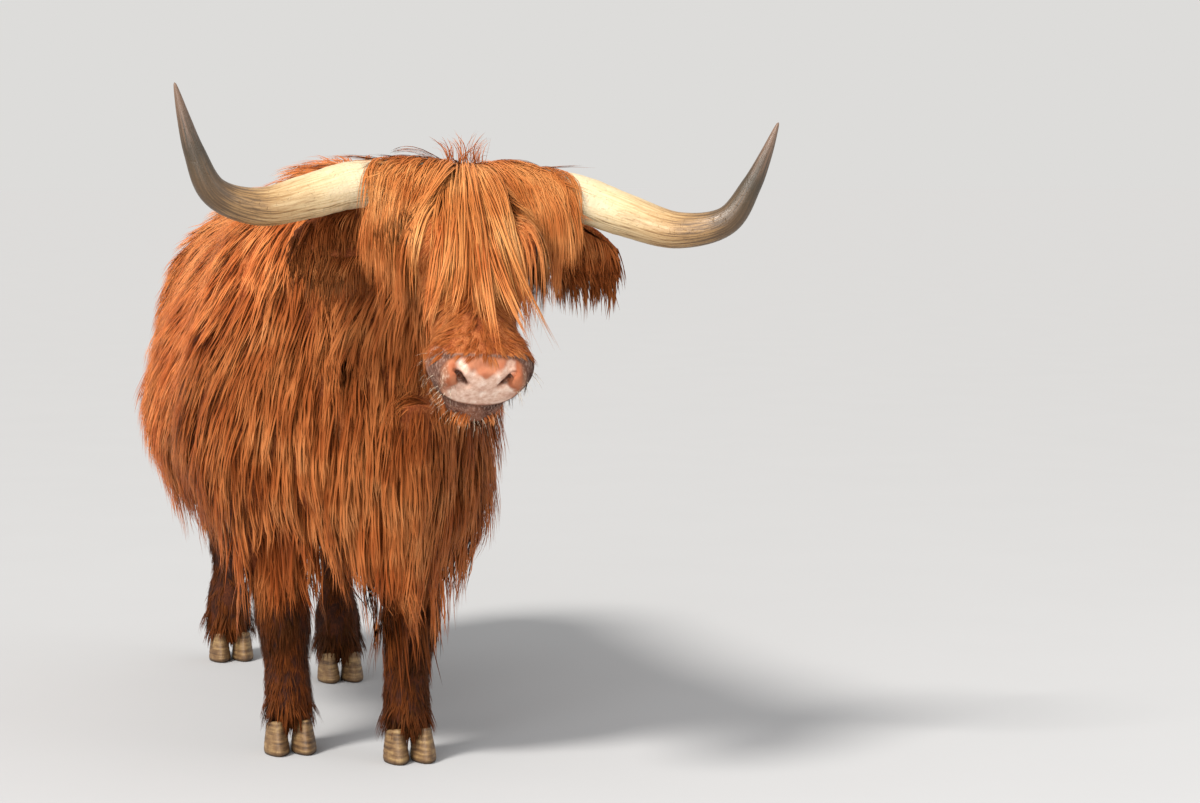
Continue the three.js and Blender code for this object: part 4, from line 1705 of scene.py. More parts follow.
@dataclass
class Coat:
    """Grows locks from roots and turns them into meshes.

    Attributes:
        near: how far places are from the skin.
        lay: which way the hair lies.
        marks: where it is dark or fair.
        grain: how large a strand's patch is on the skin's unwrap.
        root_depth: how deep locks start under the skin.
        keel: how far a strand's edges lie below its middle, as a share of its half width.
        ridge: how far its ridge stands above its middle, as a share of the same.
        edge_tilt: how far its shading turns out at its edges.
        tip_tilt: how far its shading turns forward at its tip.
    """

    near: Nearness
    lay: Lay
    marks: Markings
    grain: float = 0.003
    root_depth: float = 0.004
    keel: float = 0.12
    ridge: float = 0.28
    edge_tilt: float = 0.7
    tip_tilt: float = 0.6

    def guides(self, roots: Roots, style: LockStyle, length: Array, rng: np.random.Generator) -> Array:
        """The middle line of each lock.

        Args:
            roots: where the locks start.
            style: how they grow.
            length: how long each one is.
            rng: the source of chance.

        Returns:
            For each lock, the points of its line from root to tip.
        """
        count, steps = len(roots.points), style.segments
        place = roots.points - roots.normals * self.root_depth
        out = roots.normals
        level = rng.uniform(0.35, 1.0, count) * np.clip(length / style.length, 0, 2.6)
        turn = rng.normal(0, style.turn, count)
        under = rise(-out[:, 2], -0.1, 0.45)
        line = [place]
        for k in range(1, steps + 1):
            s = (k - 0.5) / steps
            flow = self.lay.at(place, out, roots.weights)
            flow = flow + turn[:, None] * np.cross(out, flow)
            pull = style.droop * rise(s, 0, style.hang) + 0.8 * under * rise(s, 0, 0.3)
            pull = np.minimum(pull, 0.96)[:, None]
            way = unit((flow + out * style.lift * 1.6 * (1 - s) ** 2) * (1 - pull) + DOWN * pull)
            place = place + way * (length / steps)[:, None]
            off, slope = self.near.at(place)
            strong = np.linalg.norm(slope, axis=1) > 0.3
            out = np.where(strong[:, None], unit(slope), out)
            want = style.stand * level * rise(k / steps, 0, 0.6)
            push = np.where(off < want, want - off, (want - off) * style.cling)
            push = np.clip(push, -0.5 * length / steps, length / steps)
            place = place + out * np.where(strong, push, 0)[:, None]
            line.append(place)
        line = np.stack(line, axis=1)
        return self.eased(line)

    def strands(self, guides: Array, roots: Roots, style: LockStyle, rng: np.random.Generator) -> Array:
        """Spreads each lock into strands that wave together and gather towards its tip.

        Args:
            guides: the middle line of each lock.
            roots: where the locks start.
            style: how they grow.
            rng: the source of chance.

        Returns:
            For each strand, the points of its line from root to tip.
        """
        count, points = guides.shape[:2]
        each = style.strands
        s = np.linspace(0, 1, points)
        tangent = unit(np.gradient(guides, axis=1))
        side = unit(np.cross(tangent, roots.normals[:, None, :]) + 1e-6)
        up = np.cross(side, tangent)
        reach = np.linalg.norm(np.diff(guides, axis=1), axis=2).sum(axis=1)
        angle = rng.uniform(0, 2 * math.pi, (count, each, 1))
        radius = style.spread * np.sqrt(rng.random((count, each, 1)))
        gather = 1 - style.gather * rise(s, 0, 1)
        turns = reach[:, None, None] / style.wave_length * 2 * math.pi
        phase = rng.uniform(0, 2 * math.pi, (count, 1, 1)) + rng.normal(0, 0.5, (count, each, 1))
        swing = style.wave * rise(s, 0, 0.6)
        wide = radius * gather * np.cos(angle) + swing * np.sin(phase + turns * s)
        high = 0.5 * radius * gather * np.sin(angle) + 0.6 * swing * np.cos(phase * 1.7 + turns * s)
        wide = wide + style.frizz * self.wander(count, each, s, rng)
        high = high + 0.6 * style.frizz * self.wander(count, each, s, rng)
        short = rng.uniform(0.72, 1.08, (count, each, 1))
        where = np.clip(s * short, 0, 1.08) * (points - 1)
        base = np.minimum(where.astype(int), points - 2)
        part = (where - base)[..., None]
        lock = np.arange(count)[:, None, None]
        line = guides[lock, base] * (1 - part) + guides[lock, base + 1] * part
        line = line + side[:, None] * wide[..., None] + up[:, None] * high[..., None]
        line = line.reshape(-1, points, 3)
        for k in range(1, points):
            off, slope = self.near.at(line[:, k])
            line[:, k] += unit(slope) * np.clip(style.clear - off, 0, 0.012)[:, None]
        return self.eased(line)

    @staticmethod
    def eased(line: Array) -> Array:
        """Lines with their kinks drawn out, in place.

        Args:
            line: the points of each line.

        Returns:
            The same lines.
        """
        for _ in range(2):
            line[:, 1:-1] += 0.5 * ((line[:, :-2] + line[:, 2:]) / 2 - line[:, 1:-1])
        return line

    @staticmethod
    def wander(count: int, each: int, s: Array, rng: np.random.Generator) -> Array:
        """A slow stray to one side for each strand, none at its root.

        Args:
            count: how many locks there are.
            each: how many strands each has.
            s: the share of the length at each point.
            rng: the source of chance.

        Returns:
            How far each strand strays at each point.
        """
        slow, quick = rng.normal(0, 1, (2, count, each, 1))
        start = rng.uniform(0, 2 * math.pi, (2, count, each, 1))
        stray = slow * (np.sin(start[0] + 2.6 * s) - np.sin(start[0]))
        return stray + 0.35 * quick * (np.sin(start[1] + 9 * s) - np.sin(start[1]))

    def carried(self, line: Array, tangent: Array, normals: Array) -> Array:
        """The way each strand's upper face looks: the skin's at its root, carried along the strand.

        Args:
            line: the points of each strand.
            tangent: the way it runs at each point.
            normals: the skin's way out at each root.

        Returns:
            A unit vector for each point.
        """
        now, out = normals, []
        for k in range(line.shape[1]):
            _, slope = self.near.at(line[:, k])
            now = now + 0.5 * slope
            now = unit(across(now, tangent[:, k]))
            out.append(now)
        return np.stack(out, axis=1)

    def mesh(
        self,
        name: str,
        line: Array,
        up: Array,
        width: Array,
        flat: float,
        patch: Array,
        facts: dict[str, Array],
    ) -> bpy.types.Mesh:
        """Closed tapering blades of three sides along each strand.

        Args:
            name: the mesh's name.
            line: the points of each strand.
            up: the way the upper face of each strand looks at each point.
            width: how wide each strand is at its widest.
            flat: how flat the strands are shaded, 0 for round ones.
            patch: each strand's place on the skin's unwrap.
            facts: numbers for each strand that its material reads.

        Returns:
            The mesh.
        """
        count, points = line.shape[:2]
        rings = points - 1
        s = np.linspace(0, 1, points)
        tangent = unit(np.gradient(line, axis=1))
        side = np.cross(tangent, up)
        shape = (0.55 + 1.1 * s - 1.45 * s**2)[:rings]
        half = width[:, None, None] * shape[None, :, None] / 2
        under = up[:, :rings] * half * self.keel
        left = line[:, :rings] - side[:, :rings] * half - under
        right = line[:, :rings] + side[:, :rings] * half - under
        ridge = line[:, :rings] + up[:, :rings] * half * self.ridge
        ring = np.stack([left, ridge, right], axis=2).reshape(count, rings * 3, 3)
        verts = np.concatenate([ring, line[:, -1:]], axis=1)
        each = rings * 3 + 1
        faces, cell_uv = self.blade(rings)
        index = (faces[None] + (np.arange(count) * each)[:, None, None]).reshape(-1, 3)
        made = mesh_of(name, verts.reshape(-1, 3), index)
        ways = [flat * up - self.edge_tilt * side, up, flat * up + self.edge_tilt * side]
        normal = np.stack([w[:, :rings] for w in ways], axis=2).reshape(count, rings * 3, 3)
        tip = (flat * up + self.tip_tilt * tangent)[:, -1:]
        normal = unit(np.concatenate([normal, tip], axis=1).reshape(-1, 3))
        put_ways(made, "custom_normal", normal)
        along = np.append(np.repeat(s[:rings], 3), 1.0)
        over = np.append(np.tile([0.0, 0.5, 1.0], rings), 0.5)
        put_values(made, "along", np.tile(along, count))
        put_values(made, "over", np.tile(over, count))
        for key, value in facts.items():
            put_values(made, key, np.repeat(value, each))
        uv = patch[:, None, None, :] + (cell_uv[None] - 0.5) * self.grain
        fill(made.uv_layers.new(name=UNWRAP), "uv", uv)
        return made

    @staticmethod
    def blade(rings: int) -> tuple[Array, Array]:
        """The faces of one blade, and where each of their corners lies on its patch.

        Args:
            rings: how many rings a blade has under its tip.

        Returns:
            The faces and the corners' places.
        """
        faces, uvs = [[0, 2, 1]], [[(0.0, 0.0), (1.0, 0.0), (0.5, 0.06)]]
        for r in range(rings):
            low, high = r / rings, (r + 1) / rings
            for i in range(3):
                j = (i + 1) % 3
                a, b, x0, x1 = r * 3 + i, r * 3 + j, i / 3, (i + 1) / 3
                if r == rings - 1:
                    faces.append([a, b, rings * 3])
                    uvs.append([(x0, low), (x1, low), ((x0 + x1) / 2, 1.0)])
                    continue
                faces += [[a, b, b + 3], [a, b + 3, a + 3]]
                uvs += [[(x0, low), (x1, low), (x1, high)], [(x0, low), (x1, high), (x0, high)]]
        return np.array(faces), np.array(uvs)

    def grow(
        self, name: str, roots: Roots, style: LockStyle, scale: Array, rng: np.random.Generator
    ) -> bpy.types.Mesh:
        """One piece of the coat, without the strands that kink or face the skin.

        Args:
            name: the piece's name.
            roots: where its locks start.
            style: how they grow.
            scale: each lock's length as a share of the style's.
            rng: the source of chance.

        Returns:
            The mesh.
        """
        length = style.length * scale * rng.uniform(0.72, 1.15, len(scale))
        guides = self.guides(roots, style, length, rng)
        line = self.strands(guides, roots, style, rng)
        each = style.strands
        steps = unit(np.diff(line, axis=1))
        even = np.sum(steps[:, :-1] * steps[:, 1:], axis=2).min(axis=1) > style.even
        tangent = unit(np.gradient(line, axis=1))
        up = self.carried(line, tangent, np.repeat(roots.normals, each, axis=0))
        middle = line.shape[1] // 2
        even &= np.sum(up[:, middle] * self.near.at(line[:, middle])[1], axis=1) > -0.1
        count = int(even.sum())

        def spread(values: Array) -> Array:
            """Values of locks given to each of their even strands."""
            return np.repeat(values, each, axis=0)[even]

        width = style.width * rng.uniform(0.6, 1.25, count) * spread(np.sqrt(np.minimum(scale, 1.2)))
        tint = spread(rng.random(len(scale))) * 0.55 + rng.random(count) * 0.45
        middle = roots.points * 0.6 + guides[:, guides.shape[1] // 2] * 0.4
        dark, fair = spread(self.marks.dark(middle)), spread(self.marks.fair(middle))
        patch = spread(roots.patch) + rng.uniform(-1, 1, (count, 2)) * self.grain * 1.5
        facts = {"tint": tint, "dark": dark, "fair": fair}
        return self.mesh(name, line[even], up[even], width, style.flat, patch, facts)


# ---- Finishes --------------------------------------------------------------------------------
def linear(colour: str) -> tuple[float, float, float, float]:
    """An sRGB hex colour as linear red, green, blue and alpha."""
    parts = [int(colour.lstrip("#")[i : i + 2], 16) / 255 for i in (0, 2, 4)]
    return (*[c / 12.92 if c <= 0.04045 else ((c + 0.055) / 1.055) ** 2.4 for c in parts], 1.0)


def add_node(
    tree: bpy.types.NodeTree, kind: str, settings: dict | None = None, **inputs: object
) -> bpy.types.Node:
    """Adds a node with its settings and links.

    Args:
        tree: the tree that it joins.
        kind: its type.
        settings: its own properties by name, and with a number as key the values of its inputs.
        inputs: values or sockets for its inputs; an underscore stands for a space.

    Returns:
        The node.
    """
    made = tree.nodes.new(kind)
    sockets: dict[str | int, object] = {k.replace("_", " "): v for k, v in inputs.items()}
    for key, value in (settings or {}).items():
        if isinstance(key, int):
            sockets[key] = value
        else:
            setattr(made, key, value)
    for key, value in sockets.items():
        if isinstance(value, bpy.types.NodeSocket):
            tree.links.new(value, made.inputs[key])
        else:
            made.inputs[key].default_value = value
    return made


Socket = bpy.types.NodeSocket


class Finish:
    """A material under construction: its node tree and the few steps that all finishes share."""

    def __init__(self, name: str) -> None:
        """Starts an empty material.

        Args:
            name: the material's name.
        """
        self.material = bpy.data.materials.new(name)
        self.material.use_nodes = True
        self.tree = self.material.node_tree
        self.tree.nodes.clear()

    def add(self, kind: str, settings: dict | None = None, **inputs: object) -> Socket:
        """Adds a node and gives its first output."""
        return add_node(self.tree, kind, settings, **inputs).outputs[0]

    def value(self, name: str) -> Socket:
        """A number kept at the vertices of a piece."""
        return add_node(self.tree, "ShaderNodeAttribute", {"attribute_name": name}).outputs["Fac"]

    def place(self, stretch: Sequence[float] = (1, 1, 1)) -> Socket:
        """The place in the scene in metres, with each axis stretched."""
        seen = add_node(self.tree, "ShaderNodeTexCoord").outputs["Object"]
        return self.add("ShaderNodeMapping", {3: tuple(stretch)}, Vector=seen)

    def noise(self, where: Socket, grain: float, detail: float = 3, rough: float = 0.5) -> Socket:
        """Soft noise whose blobs are about one grain across, in metres."""
        sizes = {"Scale": 1 / grain, "Detail": detail, "Roughness": rough}
        return self.add("ShaderNodeTexNoise", None, Vector=where, **sizes)

    def cells(self, size: float) -> Socket:
        """How far a place is from the edges of cells of about this size, in metres."""
        settings = {"feature": "DISTANCE_TO_EDGE"}
        return self.add("ShaderNodeTexVoronoi", settings, Vector=self.place(), Scale=1 / size)

    def mix(self, share: object, a: object, b: object, kind: str = "MIX") -> Socket:
        """Two colours mixed by a share."""
        settings = {"data_type": "RGBA", "blend_type": kind, 0: share, 6: a, 7: b}
        return add_node(self.tree, "ShaderNodeMix", settings).outputs[2]

    def math(self, kind: str, a: object, b: object = 0.0) -> Socket:
        """Arithmetic on one or two numbers, held between 0 and 1."""
        return self.add("ShaderNodeMath", {"operation": kind, "use_clamp": True, 0: a, 1: b})

    def span(
        self, value: object, low: float, high: float, to_low: float = 0, to_high: float = 1
    ) -> Socket:
        """A number carried smoothly from one span to another."""
        settings = {"interpolation_type": "SMOOTHSTEP", 1: low, 2: high, 3: to_low, 4: to_high}
        return self.add("ShaderNodeMapRange", settings, Value=value)

    def ramp(self, value: object, *stops: tuple[float, str]) -> Socket:
        """A colour looked up along a ramp of hex colours.

        Args:
            value: what is looked up.
            stops: places and colours.

        Returns:
            The colour's socket.
        """
        made = add_node(self.tree, "ShaderNodeValToRGB", None, Fac=value)
        band = made.color_ramp
        while len(band.elements) < len(stops):
            band.elements.new(0.5)
        for element, (at, colour) in zip(band.elements, stops):
            element.position, element.color = at, linear(colour)
        return made.outputs[0]

    def bump(self, height: object, depth: float, strength: float = 1.0, under: object = None) -> Socket:
        """A relief of the given depth in metres, on top of another one.

        Args:
            height: the relief from 0 to 1.
            depth: how deep it is.
            strength: how much of it shows.
            under: the relief below it.

        Returns:
            The normal's socket.
        """
        inputs = {"Height": height, "Distance": depth, "Strength": strength}
        if under is not None:
            inputs["Normal"] = under
        return self.add("ShaderNodeBump", None, **inputs)

    def surface(self, **inputs: object) -> bpy.types.Material:
        """Ends the tree in a Principled shader with these inputs.

        Args:
            inputs: the shader's values and sockets by name.

        Returns:
            The material.
        """
        shader = self.add("ShaderNodeBsdfPrincipled", None, **inputs)
        add_node(self.tree, "ShaderNodeOutputMaterial", None, Surface=shader)
        return self.material


@dataclass(frozen=True)
class HairColours:
    """The colours of a hair from shaded to sunlit."""

    deep: str
    low: str
    high: str
    tip: str


@dataclass(frozen=True)
class HighlandHair:
    """Outer coat of a red highland cow: coarse, waxy keratin strands, dry at their tips."""

    red: HairColours = HairColours("#6e2c0f", "#9f4b20", "#c9743f", "#e09a63")
    gold: HairColours = HairColours("#84451c", "#b26935", "#d19055", "#e6b078")
    brown: HairColours = HairColours("#150802", "#2e1306", "#52260e", "#783f19")

    def strand(self, f: Finish, colours: HairColours, tint: object) -> Socket:
        """One hair colour by tint."""
        stops = zip((0.0, 0.35, 0.7, 1.0), (colours.deep, colours.low, colours.high, colours.tip))
        return f.ramp(tint, *stops)

    def colour(self, f: Finish, tint: object) -> Socket:
        """The markings' colour for a tint, the same on skin and coat."""
        fair = f.mix(f.value("fair"), self.strand(f, self.red, tint), self.strand(f, self.gold, tint))
        return f.mix(f.value("dark"), fair, self.strand(f, self.brown, tint))

    def material(self, name: str = "highland_hair") -> bpy.types.Material:
        """Waxy strands with painted shade at the root, where neighbours cover them, and a soft sheen.

        Args:
            name: its name.

        Returns:
            The material.
        """
        f = Finish(name)
        patch = f.noise(f.place(), 0.09, 2)
        tint = f.math("ADD", f.math("MULTIPLY", f.value("tint"), 0.36), f.span(patch, 0.35, 0.65, 0.12, 0.42))
        # Paler tips are the hair's own sun-bleached colour; the darker roots are partly painted shade.
        tint = f.math("ADD", tint, f.span(f.value("along"), 0.0, 0.9, -0.12, 0.14))
        # Five hairs lie side by side on a blade. They are drawn coarser than real ones, so that they show.
        shift = f.add("ShaderNodeMath", {"operation": "MULTIPLY", 0: f.value("tint"), 1: 91.0})
        abreast = f.add("ShaderNodeMath", {"operation": "MULTIPLY_ADD", 0: f.value("over"), 1: 5.0, 2: shift})
        grid = f.add("ShaderNodeCombineXYZ", None, X=abreast, Y=f.value("along"))
        flat = {"noise_dimensions": "2D"}
        hairs = f.add("ShaderNodeTexNoise", flat, Vector=grid, Scale=1.0, Detail=2, Roughness=0.6)
        base = self.colour(f, f.math("ADD", tint, f.span(hairs, 0.3, 0.7, -0.07, 0.07)))
        # Painted shade at the root of each strand, where the neighbouring hair covers it.
        shade = f.span(f.value("along"), 0.0, 0.4, 0.20, 0.0)
        base = f.mix(shade, base, linear("#3a180a"))
        relief = f.bump(hairs, 0.0006, 0.8)
        return f.surface(
            Base_Color=base,
            Roughness=0.52,
            IOR=1.55,
            Specular_IOR_Level=0.3,
            Specular_Tint=linear("#e8a468"),
            Sheen_Weight=0.04,
            Sheen_Roughness=0.4,
            Sheen_Tint=linear("#c8702c"),
            Normal=relief,
        )


@dataclass(frozen=True)
class StiffHair:
    """Thick single hairs of keratin: glossy, a little clear, paler to the tip."""

    name: str
    root: str
    tip: str

    def material(self) -> bpy.types.Material:
        """One hair colour that drifts from hair to hair, with a firm shine.

        Returns:
            The material.
        """
        f = Finish(self.name)
        base = f.mix(f.span(f.noise(f.place(), 0.009, 2), 0.35, 0.65), linear(self.root), linear(self.tip))
        return f.surface(Base_Color=base, Roughness=0.38, IOR=1.55, Specular_IOR_Level=0.4)


@dataclass(frozen=True)
class HideSkin:
    """Skin under short hair, bare on the nose and at the lids: hair and leather in one hide."""

    hair: HighlandHair = HighlandHair()

    def material(self) -> bpy.types.Material:
        """The markings of the coat with the bare places over them.

        Returns:
            The material.
        """
        f = Finish("hide_with_short_hair")
        fine = f.noise(f.place((1, 1, 0.22)), 0.0022, 3, 0.6)
        soft = f.noise(f.place(), 0.03, 3)
        tint = f.math("ADD", f.span(fine, 0.3, 0.7, 0.0, 0.45), f.span(soft, 0.3, 0.7, 0.0, 0.35))
        # Painted shade: the skin is a little darker than the hair, so that gaps in the coat read as depth.
        base = f.mix(0.12, self.hair.colour(f, tint), linear("#3a1508"))
        pits = f.cells(0.0026)
        grain = f.noise(f.place(), 0.0016, 2)
        blotch = f.noise(f.place(), 0.012, 4, 0.6)
        pad = f.ramp(blotch, (0.3, "#bb8f7b"), (0.5, "#d6b19c"), (0.72, "#ead2c1"))
        pad = f.mix(f.span(pits, 0.0, 0.09, 0.10, 0.0), pad, linear("#8a6450"))
        base = f.mix(f.value("wing"), base, f.ramp(soft, (0.3, "#9a5537"), (0.7, "#bd7a58")))
        pale_hair = f.span(f.noise(f.place((1, 1, 0.3)), 0.0030, 3, 0.7), 0.48, 0.62)
        base = f.mix(f.value("lip"), base, f.mix(pale_hair, linear("#8b6a56"), linear("#d9bfa8")))
        base = f.mix(f.value("pad"), base, pad)
        dark = f.ramp(soft, (0.35, "#38211a"), (0.65, "#6d4a3c"))
        dark = f.mix(f.math("MULTIPLY", pale_hair, 0.45), dark, linear("#a88a7a"))
        # The rim's dark colour, which also paints the shade in the nostrils, along the mouth and on the chin.
        base = f.mix(f.value("rim"), base, dark)
        base = f.mix(f.value("lid"), base, f.ramp(grain, (0.3, "#2c1810"), (0.7, "#53352a")))
        short = f.bump(fine, 0.0012, 0.7)
        leather = f.bump(f.math("MULTIPLY", f.value("bare"), f.span(pits, 0, 0.12)), 0.0004, 0.6, short)
        leather = f.bump(f.math("MULTIPLY", f.value("bare"), grain), 0.0002, 0.6, leather)
        rough = f.span(f.math("ADD", f.value("pad"), f.value("lid")), 0, 1, 0.85, 0.45)
        return f.surface(Base_Color=base, Roughness=rough, IOR=1.40, Specular_IOR_Level=0.28, Normal=leather)


@dataclass(frozen=True)
class HornSheath:
    """Keratin sheath of a grown horn: cream with brown streaks at the base, dark and polished at the tip."""

    def material(self) -> bpy.types.Material:
        """Growth rings near the head, streaks along the horn, fine dark cracks and a satin shine.

        Returns:
            The material.
        """
        f = Finish("horn_keratin")
        along, around = f.value("along"), f.value("around")
        grid = f.add("ShaderNodeCombineXYZ", None, X=along, Y=around)
        streak = f.noise(f.add("ShaderNodeMapping", {3: (3, 9, 1)}, Vector=grid), 0.35, 5, 0.65)
        shift = f.math("ADD", along, f.span(streak, 0.3, 0.7, -0.09, 0.09))
        body = f.ramp(
            shift,
            (0.10, "#d9c9aa"),
            (0.36, "#cbb287"),
            (0.52, "#a37f52"),
            (0.64, "#5a432a"),
            (0.82, "#332a1b"),
            (0.97, "#6f5645"),
        )
        stain = f.math("MULTIPLY", f.span(streak, 0.5, 0.68), f.value("under"))
        body = f.mix(f.math("MULTIPLY", stain, 0.75), body, linear("#5a3f22"))
        flakes = f.cells(0.014)
        speck = f.noise(f.place(), 0.006, 4, 0.7)
        cracks = f.math("MULTIPLY", f.span(flakes, 0.03, 0.0), f.span(speck, 0.5, 0.62))
        body = f.mix(f.math("MULTIPLY", cracks, 0.35), body, linear("#5a4326"))
        rings = f.add(
            "ShaderNodeTexWave", {"bands_direction": "X"},
            Vector=grid, Scale=19, Distortion=6.0, Detail=3, Detail_Scale=2.5,
        )
        relief = f.bump(f.math("MULTIPLY", rings, f.span(along, 0.5, 0.05)), 0.0010, 0.5)
        grooves = f.noise(f.add("ShaderNodeMapping", {3: (4, 40, 1)}, Vector=grid), 0.5, 4)
        relief = f.bump(grooves, 0.0008, 0.5, relief)
        relief = f.bump(cracks, -0.0008, 0.8, relief)
        rough = f.span(speck, 0.3, 0.7, 0.3, 0.5)
        return f.surface(Base_Color=body, Roughness=rough, IOR=1.54, Normal=relief)


@dataclass(frozen=True)
class HoofHorn:
    """Horn of a claw: tan-brown, with growth rings round it, dusty and dull."""

    def material(self) -> bpy.types.Material:
        """Rings every few millimetres, streaks down the wall and a lower edge that is darker towards the
        floor.

        Returns:
            The material.
        """
        f = Finish("hoof_horn")
        band = f.noise(f.place((0.12, 0.12, 1)), 0.007, 3, 0.55)
        streak = f.noise(f.place((1, 1, 0.06)), 0.0016, 3)
        dust = f.noise(f.place(), 0.02, 4, 0.6)
        tone = f.math("ADD", f.math("MULTIPLY", band, 0.65), f.math("MULTIPLY", dust, 0.35))
        body = f.ramp(tone, (0.35, "#3f2a18"), (0.5, "#6e5233"), (0.66, "#94784f"))
        body = f.mix(f.span(streak, 0.5, 0.7, 0.0, 0.35), body, linear("#33210f"))
        height = add_node(f.tree, "ShaderNodeSeparateXYZ", None, Vector=f.place()).outputs[2]
        # Darker within about 12 mm of the floor.
        body = f.mix(f.span(height, 0.012, 0.0, 0.0, 0.7), body, linear("#3b2817"))
        relief = f.bump(band, 0.0012, 0.8)
        relief = f.bump(streak, 0.0002, 0.5, relief)
        return f.surface(Base_Color=body, Roughness=0.62, IOR=1.54, Specular_IOR_Level=0.4, Normal=relief)


@dataclass(frozen=True)
class LivingEye:
    """A cow's eye: very dark brown iris with a level oval pupil, under a wet clear cornea."""

    def material(self) -> bpy.types.Material:
        """Iris fibres, a black pupil, a stained white at the corners, and the cornea as a clear coat.

        Returns:
            The material.
        """
        f = Finish("wet_eye")
        fibre = f.noise(f.place(), 0.0012, 3)
        iris = f.ramp(fibre, (0.3, "#180b05"), (0.7, "#3f2110"))
        white = f.ramp(fibre, (0.3, "#6b4d3c"), (0.7, "#a88c78"))
        base = f.mix(f.value("iris"), white, iris)
        base = f.mix(f.value("pupil"), base, linear("#030303"))
        return f.surface(
            Base_Color=base, Roughness=0.25, IOR=1.38, Coat_Weight=1.0, Coat_Roughness=0.02, Coat_IOR=1.38
        )


@dataclass(frozen=True)
class PaleFloor:
    """Matt studio floor paint, pale grey with a slight warmth."""

    colour: str = "#b0b1b3"
    patches: str = "#b2b3b5"

    def material(self) -> bpy.types.Material:
        """One quiet colour with a hint of roller grain.

        Returns:
            The material.
        """
        f = Finish("studio_floor")
        grain = f.noise(f.place(), 0.4, 2)
        colour = f.mix(grain, linear(self.colour), linear(self.patches))
        return f.surface(Base_Color=colour, Roughness=1.0, Specular_IOR_Level=0.0)


# ---- Horns, claws and eyes ---------------------------------------------------------------------
@dataclass(frozen=True)
class Horn:
    """One horn: a long sheath that goes out, sinks a little, bends ahead and turns up to its tip."""

    frame: HeadFrame
    side: int
    radius: float = 42.5
    hidden: float = 0.2
    rings: int = 110
    points_round: int = 40

    # The middle line: out, ahead and up from the poll, in millimetres.
    PATH = (
        (70, -6, 10), (215, 0, 0), (305, 28, -27), (405, 68, -51), (490, 104, -27), (530, 120, 42),
        (552, 128, 100), (572, 132, 163),
    )

    def spine(self, count: int) -> Array:
        """Places along the middle of the horn, on the head."""
        level = smooth_path(np.array(self.PATH, float), count) * [self.side, 1, 1]
        return self.frame.from_level(level)

    def thickness(self, share: Array) -> Array:
        """The radius along the horn in millimetres."""
        shown_part = np.clip((share - self.hidden) / (1 - self.hidden), 0, 1)
        return self.radius * np.maximum(1 - shown_part**1.5, 0) ** 0.85 + 2.5

    def mesh(self) -> bpy.types.Mesh:
        """The sheath, with growth rings towards the head, long shallow ridges and a rounded tip.

        Returns:
            The mesh.
        """
        rng = np.random.default_rng(HORN_SEED + self.side)
        path = self.spine(self.rings)
        share = np.linspace(0, 1, self.rings)
        radius = self.thickness(share)
        tangent, right, up = carried_frames(path, self.frame.from_level([0.0, 1.0, 0.0]))
        angle = np.linspace(0, 2 * math.pi, self.points_round, endpoint=False)
        phase = rng.uniform(0, 2 * math.pi, 6)
        beat = np.sin(share * 130 + 2.2 * np.sin(share * 17 + phase[0]))
        growth = 0.35 * beat * rise(share, 0.62, 0.2) * rng.uniform(0.7, 1.3, self.rings)
        twist = share[:, None] * 2
        ridge = sum(0.5 / (k - 2) * np.sin(k * angle + phase[k - 2] + twist) for k in (3, 4, 5, 6))
        worn = radius[:, None] * (1 + 0.018 * ridge) + growth[:, None]
        ring = np.cos(angle)[:, None] * right[:, None] + np.sin(angle)[:, None] * up[:, None]
        points = path[:, None] + ring * worn[..., None]
        tip = tangent[-1] * (radius[-1] * 1.1)
        verts, faces = loft(points)
        verts[-1] = path[-1] + tip
        mesh = mesh_of("horn", self.frame.world(verts), faces[: -2 * self.points_round])
        caps = faces[-2 * self.points_round :]
        work = bmesh.new()
        work.from_mesh(mesh)
        work.verts.ensure_lookup_table()
        for cap in caps:
            work.faces.new([work.verts[i] for i in dict.fromkeys(cap.tolist())])
        bmesh.ops.recalc_face_normals(work, faces=work.faces)
        work.to_mesh(mesh)
        work.free()
        mesh.shade_smooth()
        facing = ring @ self.frame.from_level([0.0, 0.0, 1.0])
        put_values(mesh, "along", np.append(np.repeat(share, self.points_round), [0, 1]))
        around = np.tile(np.abs(angle - math.pi) / math.pi, self.rings)
        put_values(mesh, "around", np.append(around, [0, 0]))
        put_values(mesh, "under", np.append(rise(facing, 0.3, -0.6).ravel(), [0, 0]))
        return mesh


@dataclass(frozen=True)
class Claw:
    """One of the two claws of a foot: a flat-soled half hoof with a rounded toe."""

    node: str
    rings: int = 14
    points_round: int = 40

    def mesh(self) -> bpy.types.Mesh:
        """The wall, with growth rings, a bevelled sole and a soft upper edge.

        Returns:
            The mesh.
        """
        low, high = node_box(self.node)
        middle = (low + high) / 2
        height = high[2] - low[2]
        share = np.linspace(0, 1, self.rings)
        angle = np.linspace(0, 2 * math.pi, self.points_round, endpoint=False)
        deep, broad = high[1] - low[1], high[0] - low[0]
        long = profile([(0, 0.93), (0.06, 1.0), (0.3, 0.97), (1, 0.76)])(share)[:, None] * deep / 2
        wide = profile([(0, 0.95), (0.06, 1.0), (0.3, 0.96), (1, 0.76)])(share)[:, None] * broad / 2
        back = profile([(0, 0.0), (1, 0.22)])(share)[:, None] * deep / 2
        toe = np.where(np.sin(angle) < 0, 1.0, 0.86)
        narrow = 1 - 0.24 * np.maximum(-np.sin(angle), 0) ** 1.5
        ripple = 1 + 0.012 * np.sin(share * 46)[:, None] * rise(share, 0.05, 0.2)[:, None]
        x = np.cos(angle) * wide * narrow * ripple
        y = back + np.sin(angle) * long * toe * ripple
        slope = 0.26 * share[:, None]
        z = share[:, None] * height * 0.94 - slope * y * rise(share, 0.2, 1)[:, None] * 0.8
        rings = np.stack([middle[0] + x, middle[1] + y, np.maximum(low[2] + z, low[2])], axis=2)
        centre = rings[-1].mean(axis=0)
        crown = centre + (rings[-1] - centre) * 0.82 + [0, 0, height * 0.05]
        points, faces = loft(np.concatenate([rings, crown[None]]))
        return tidy_mesh("claw", points, faces)


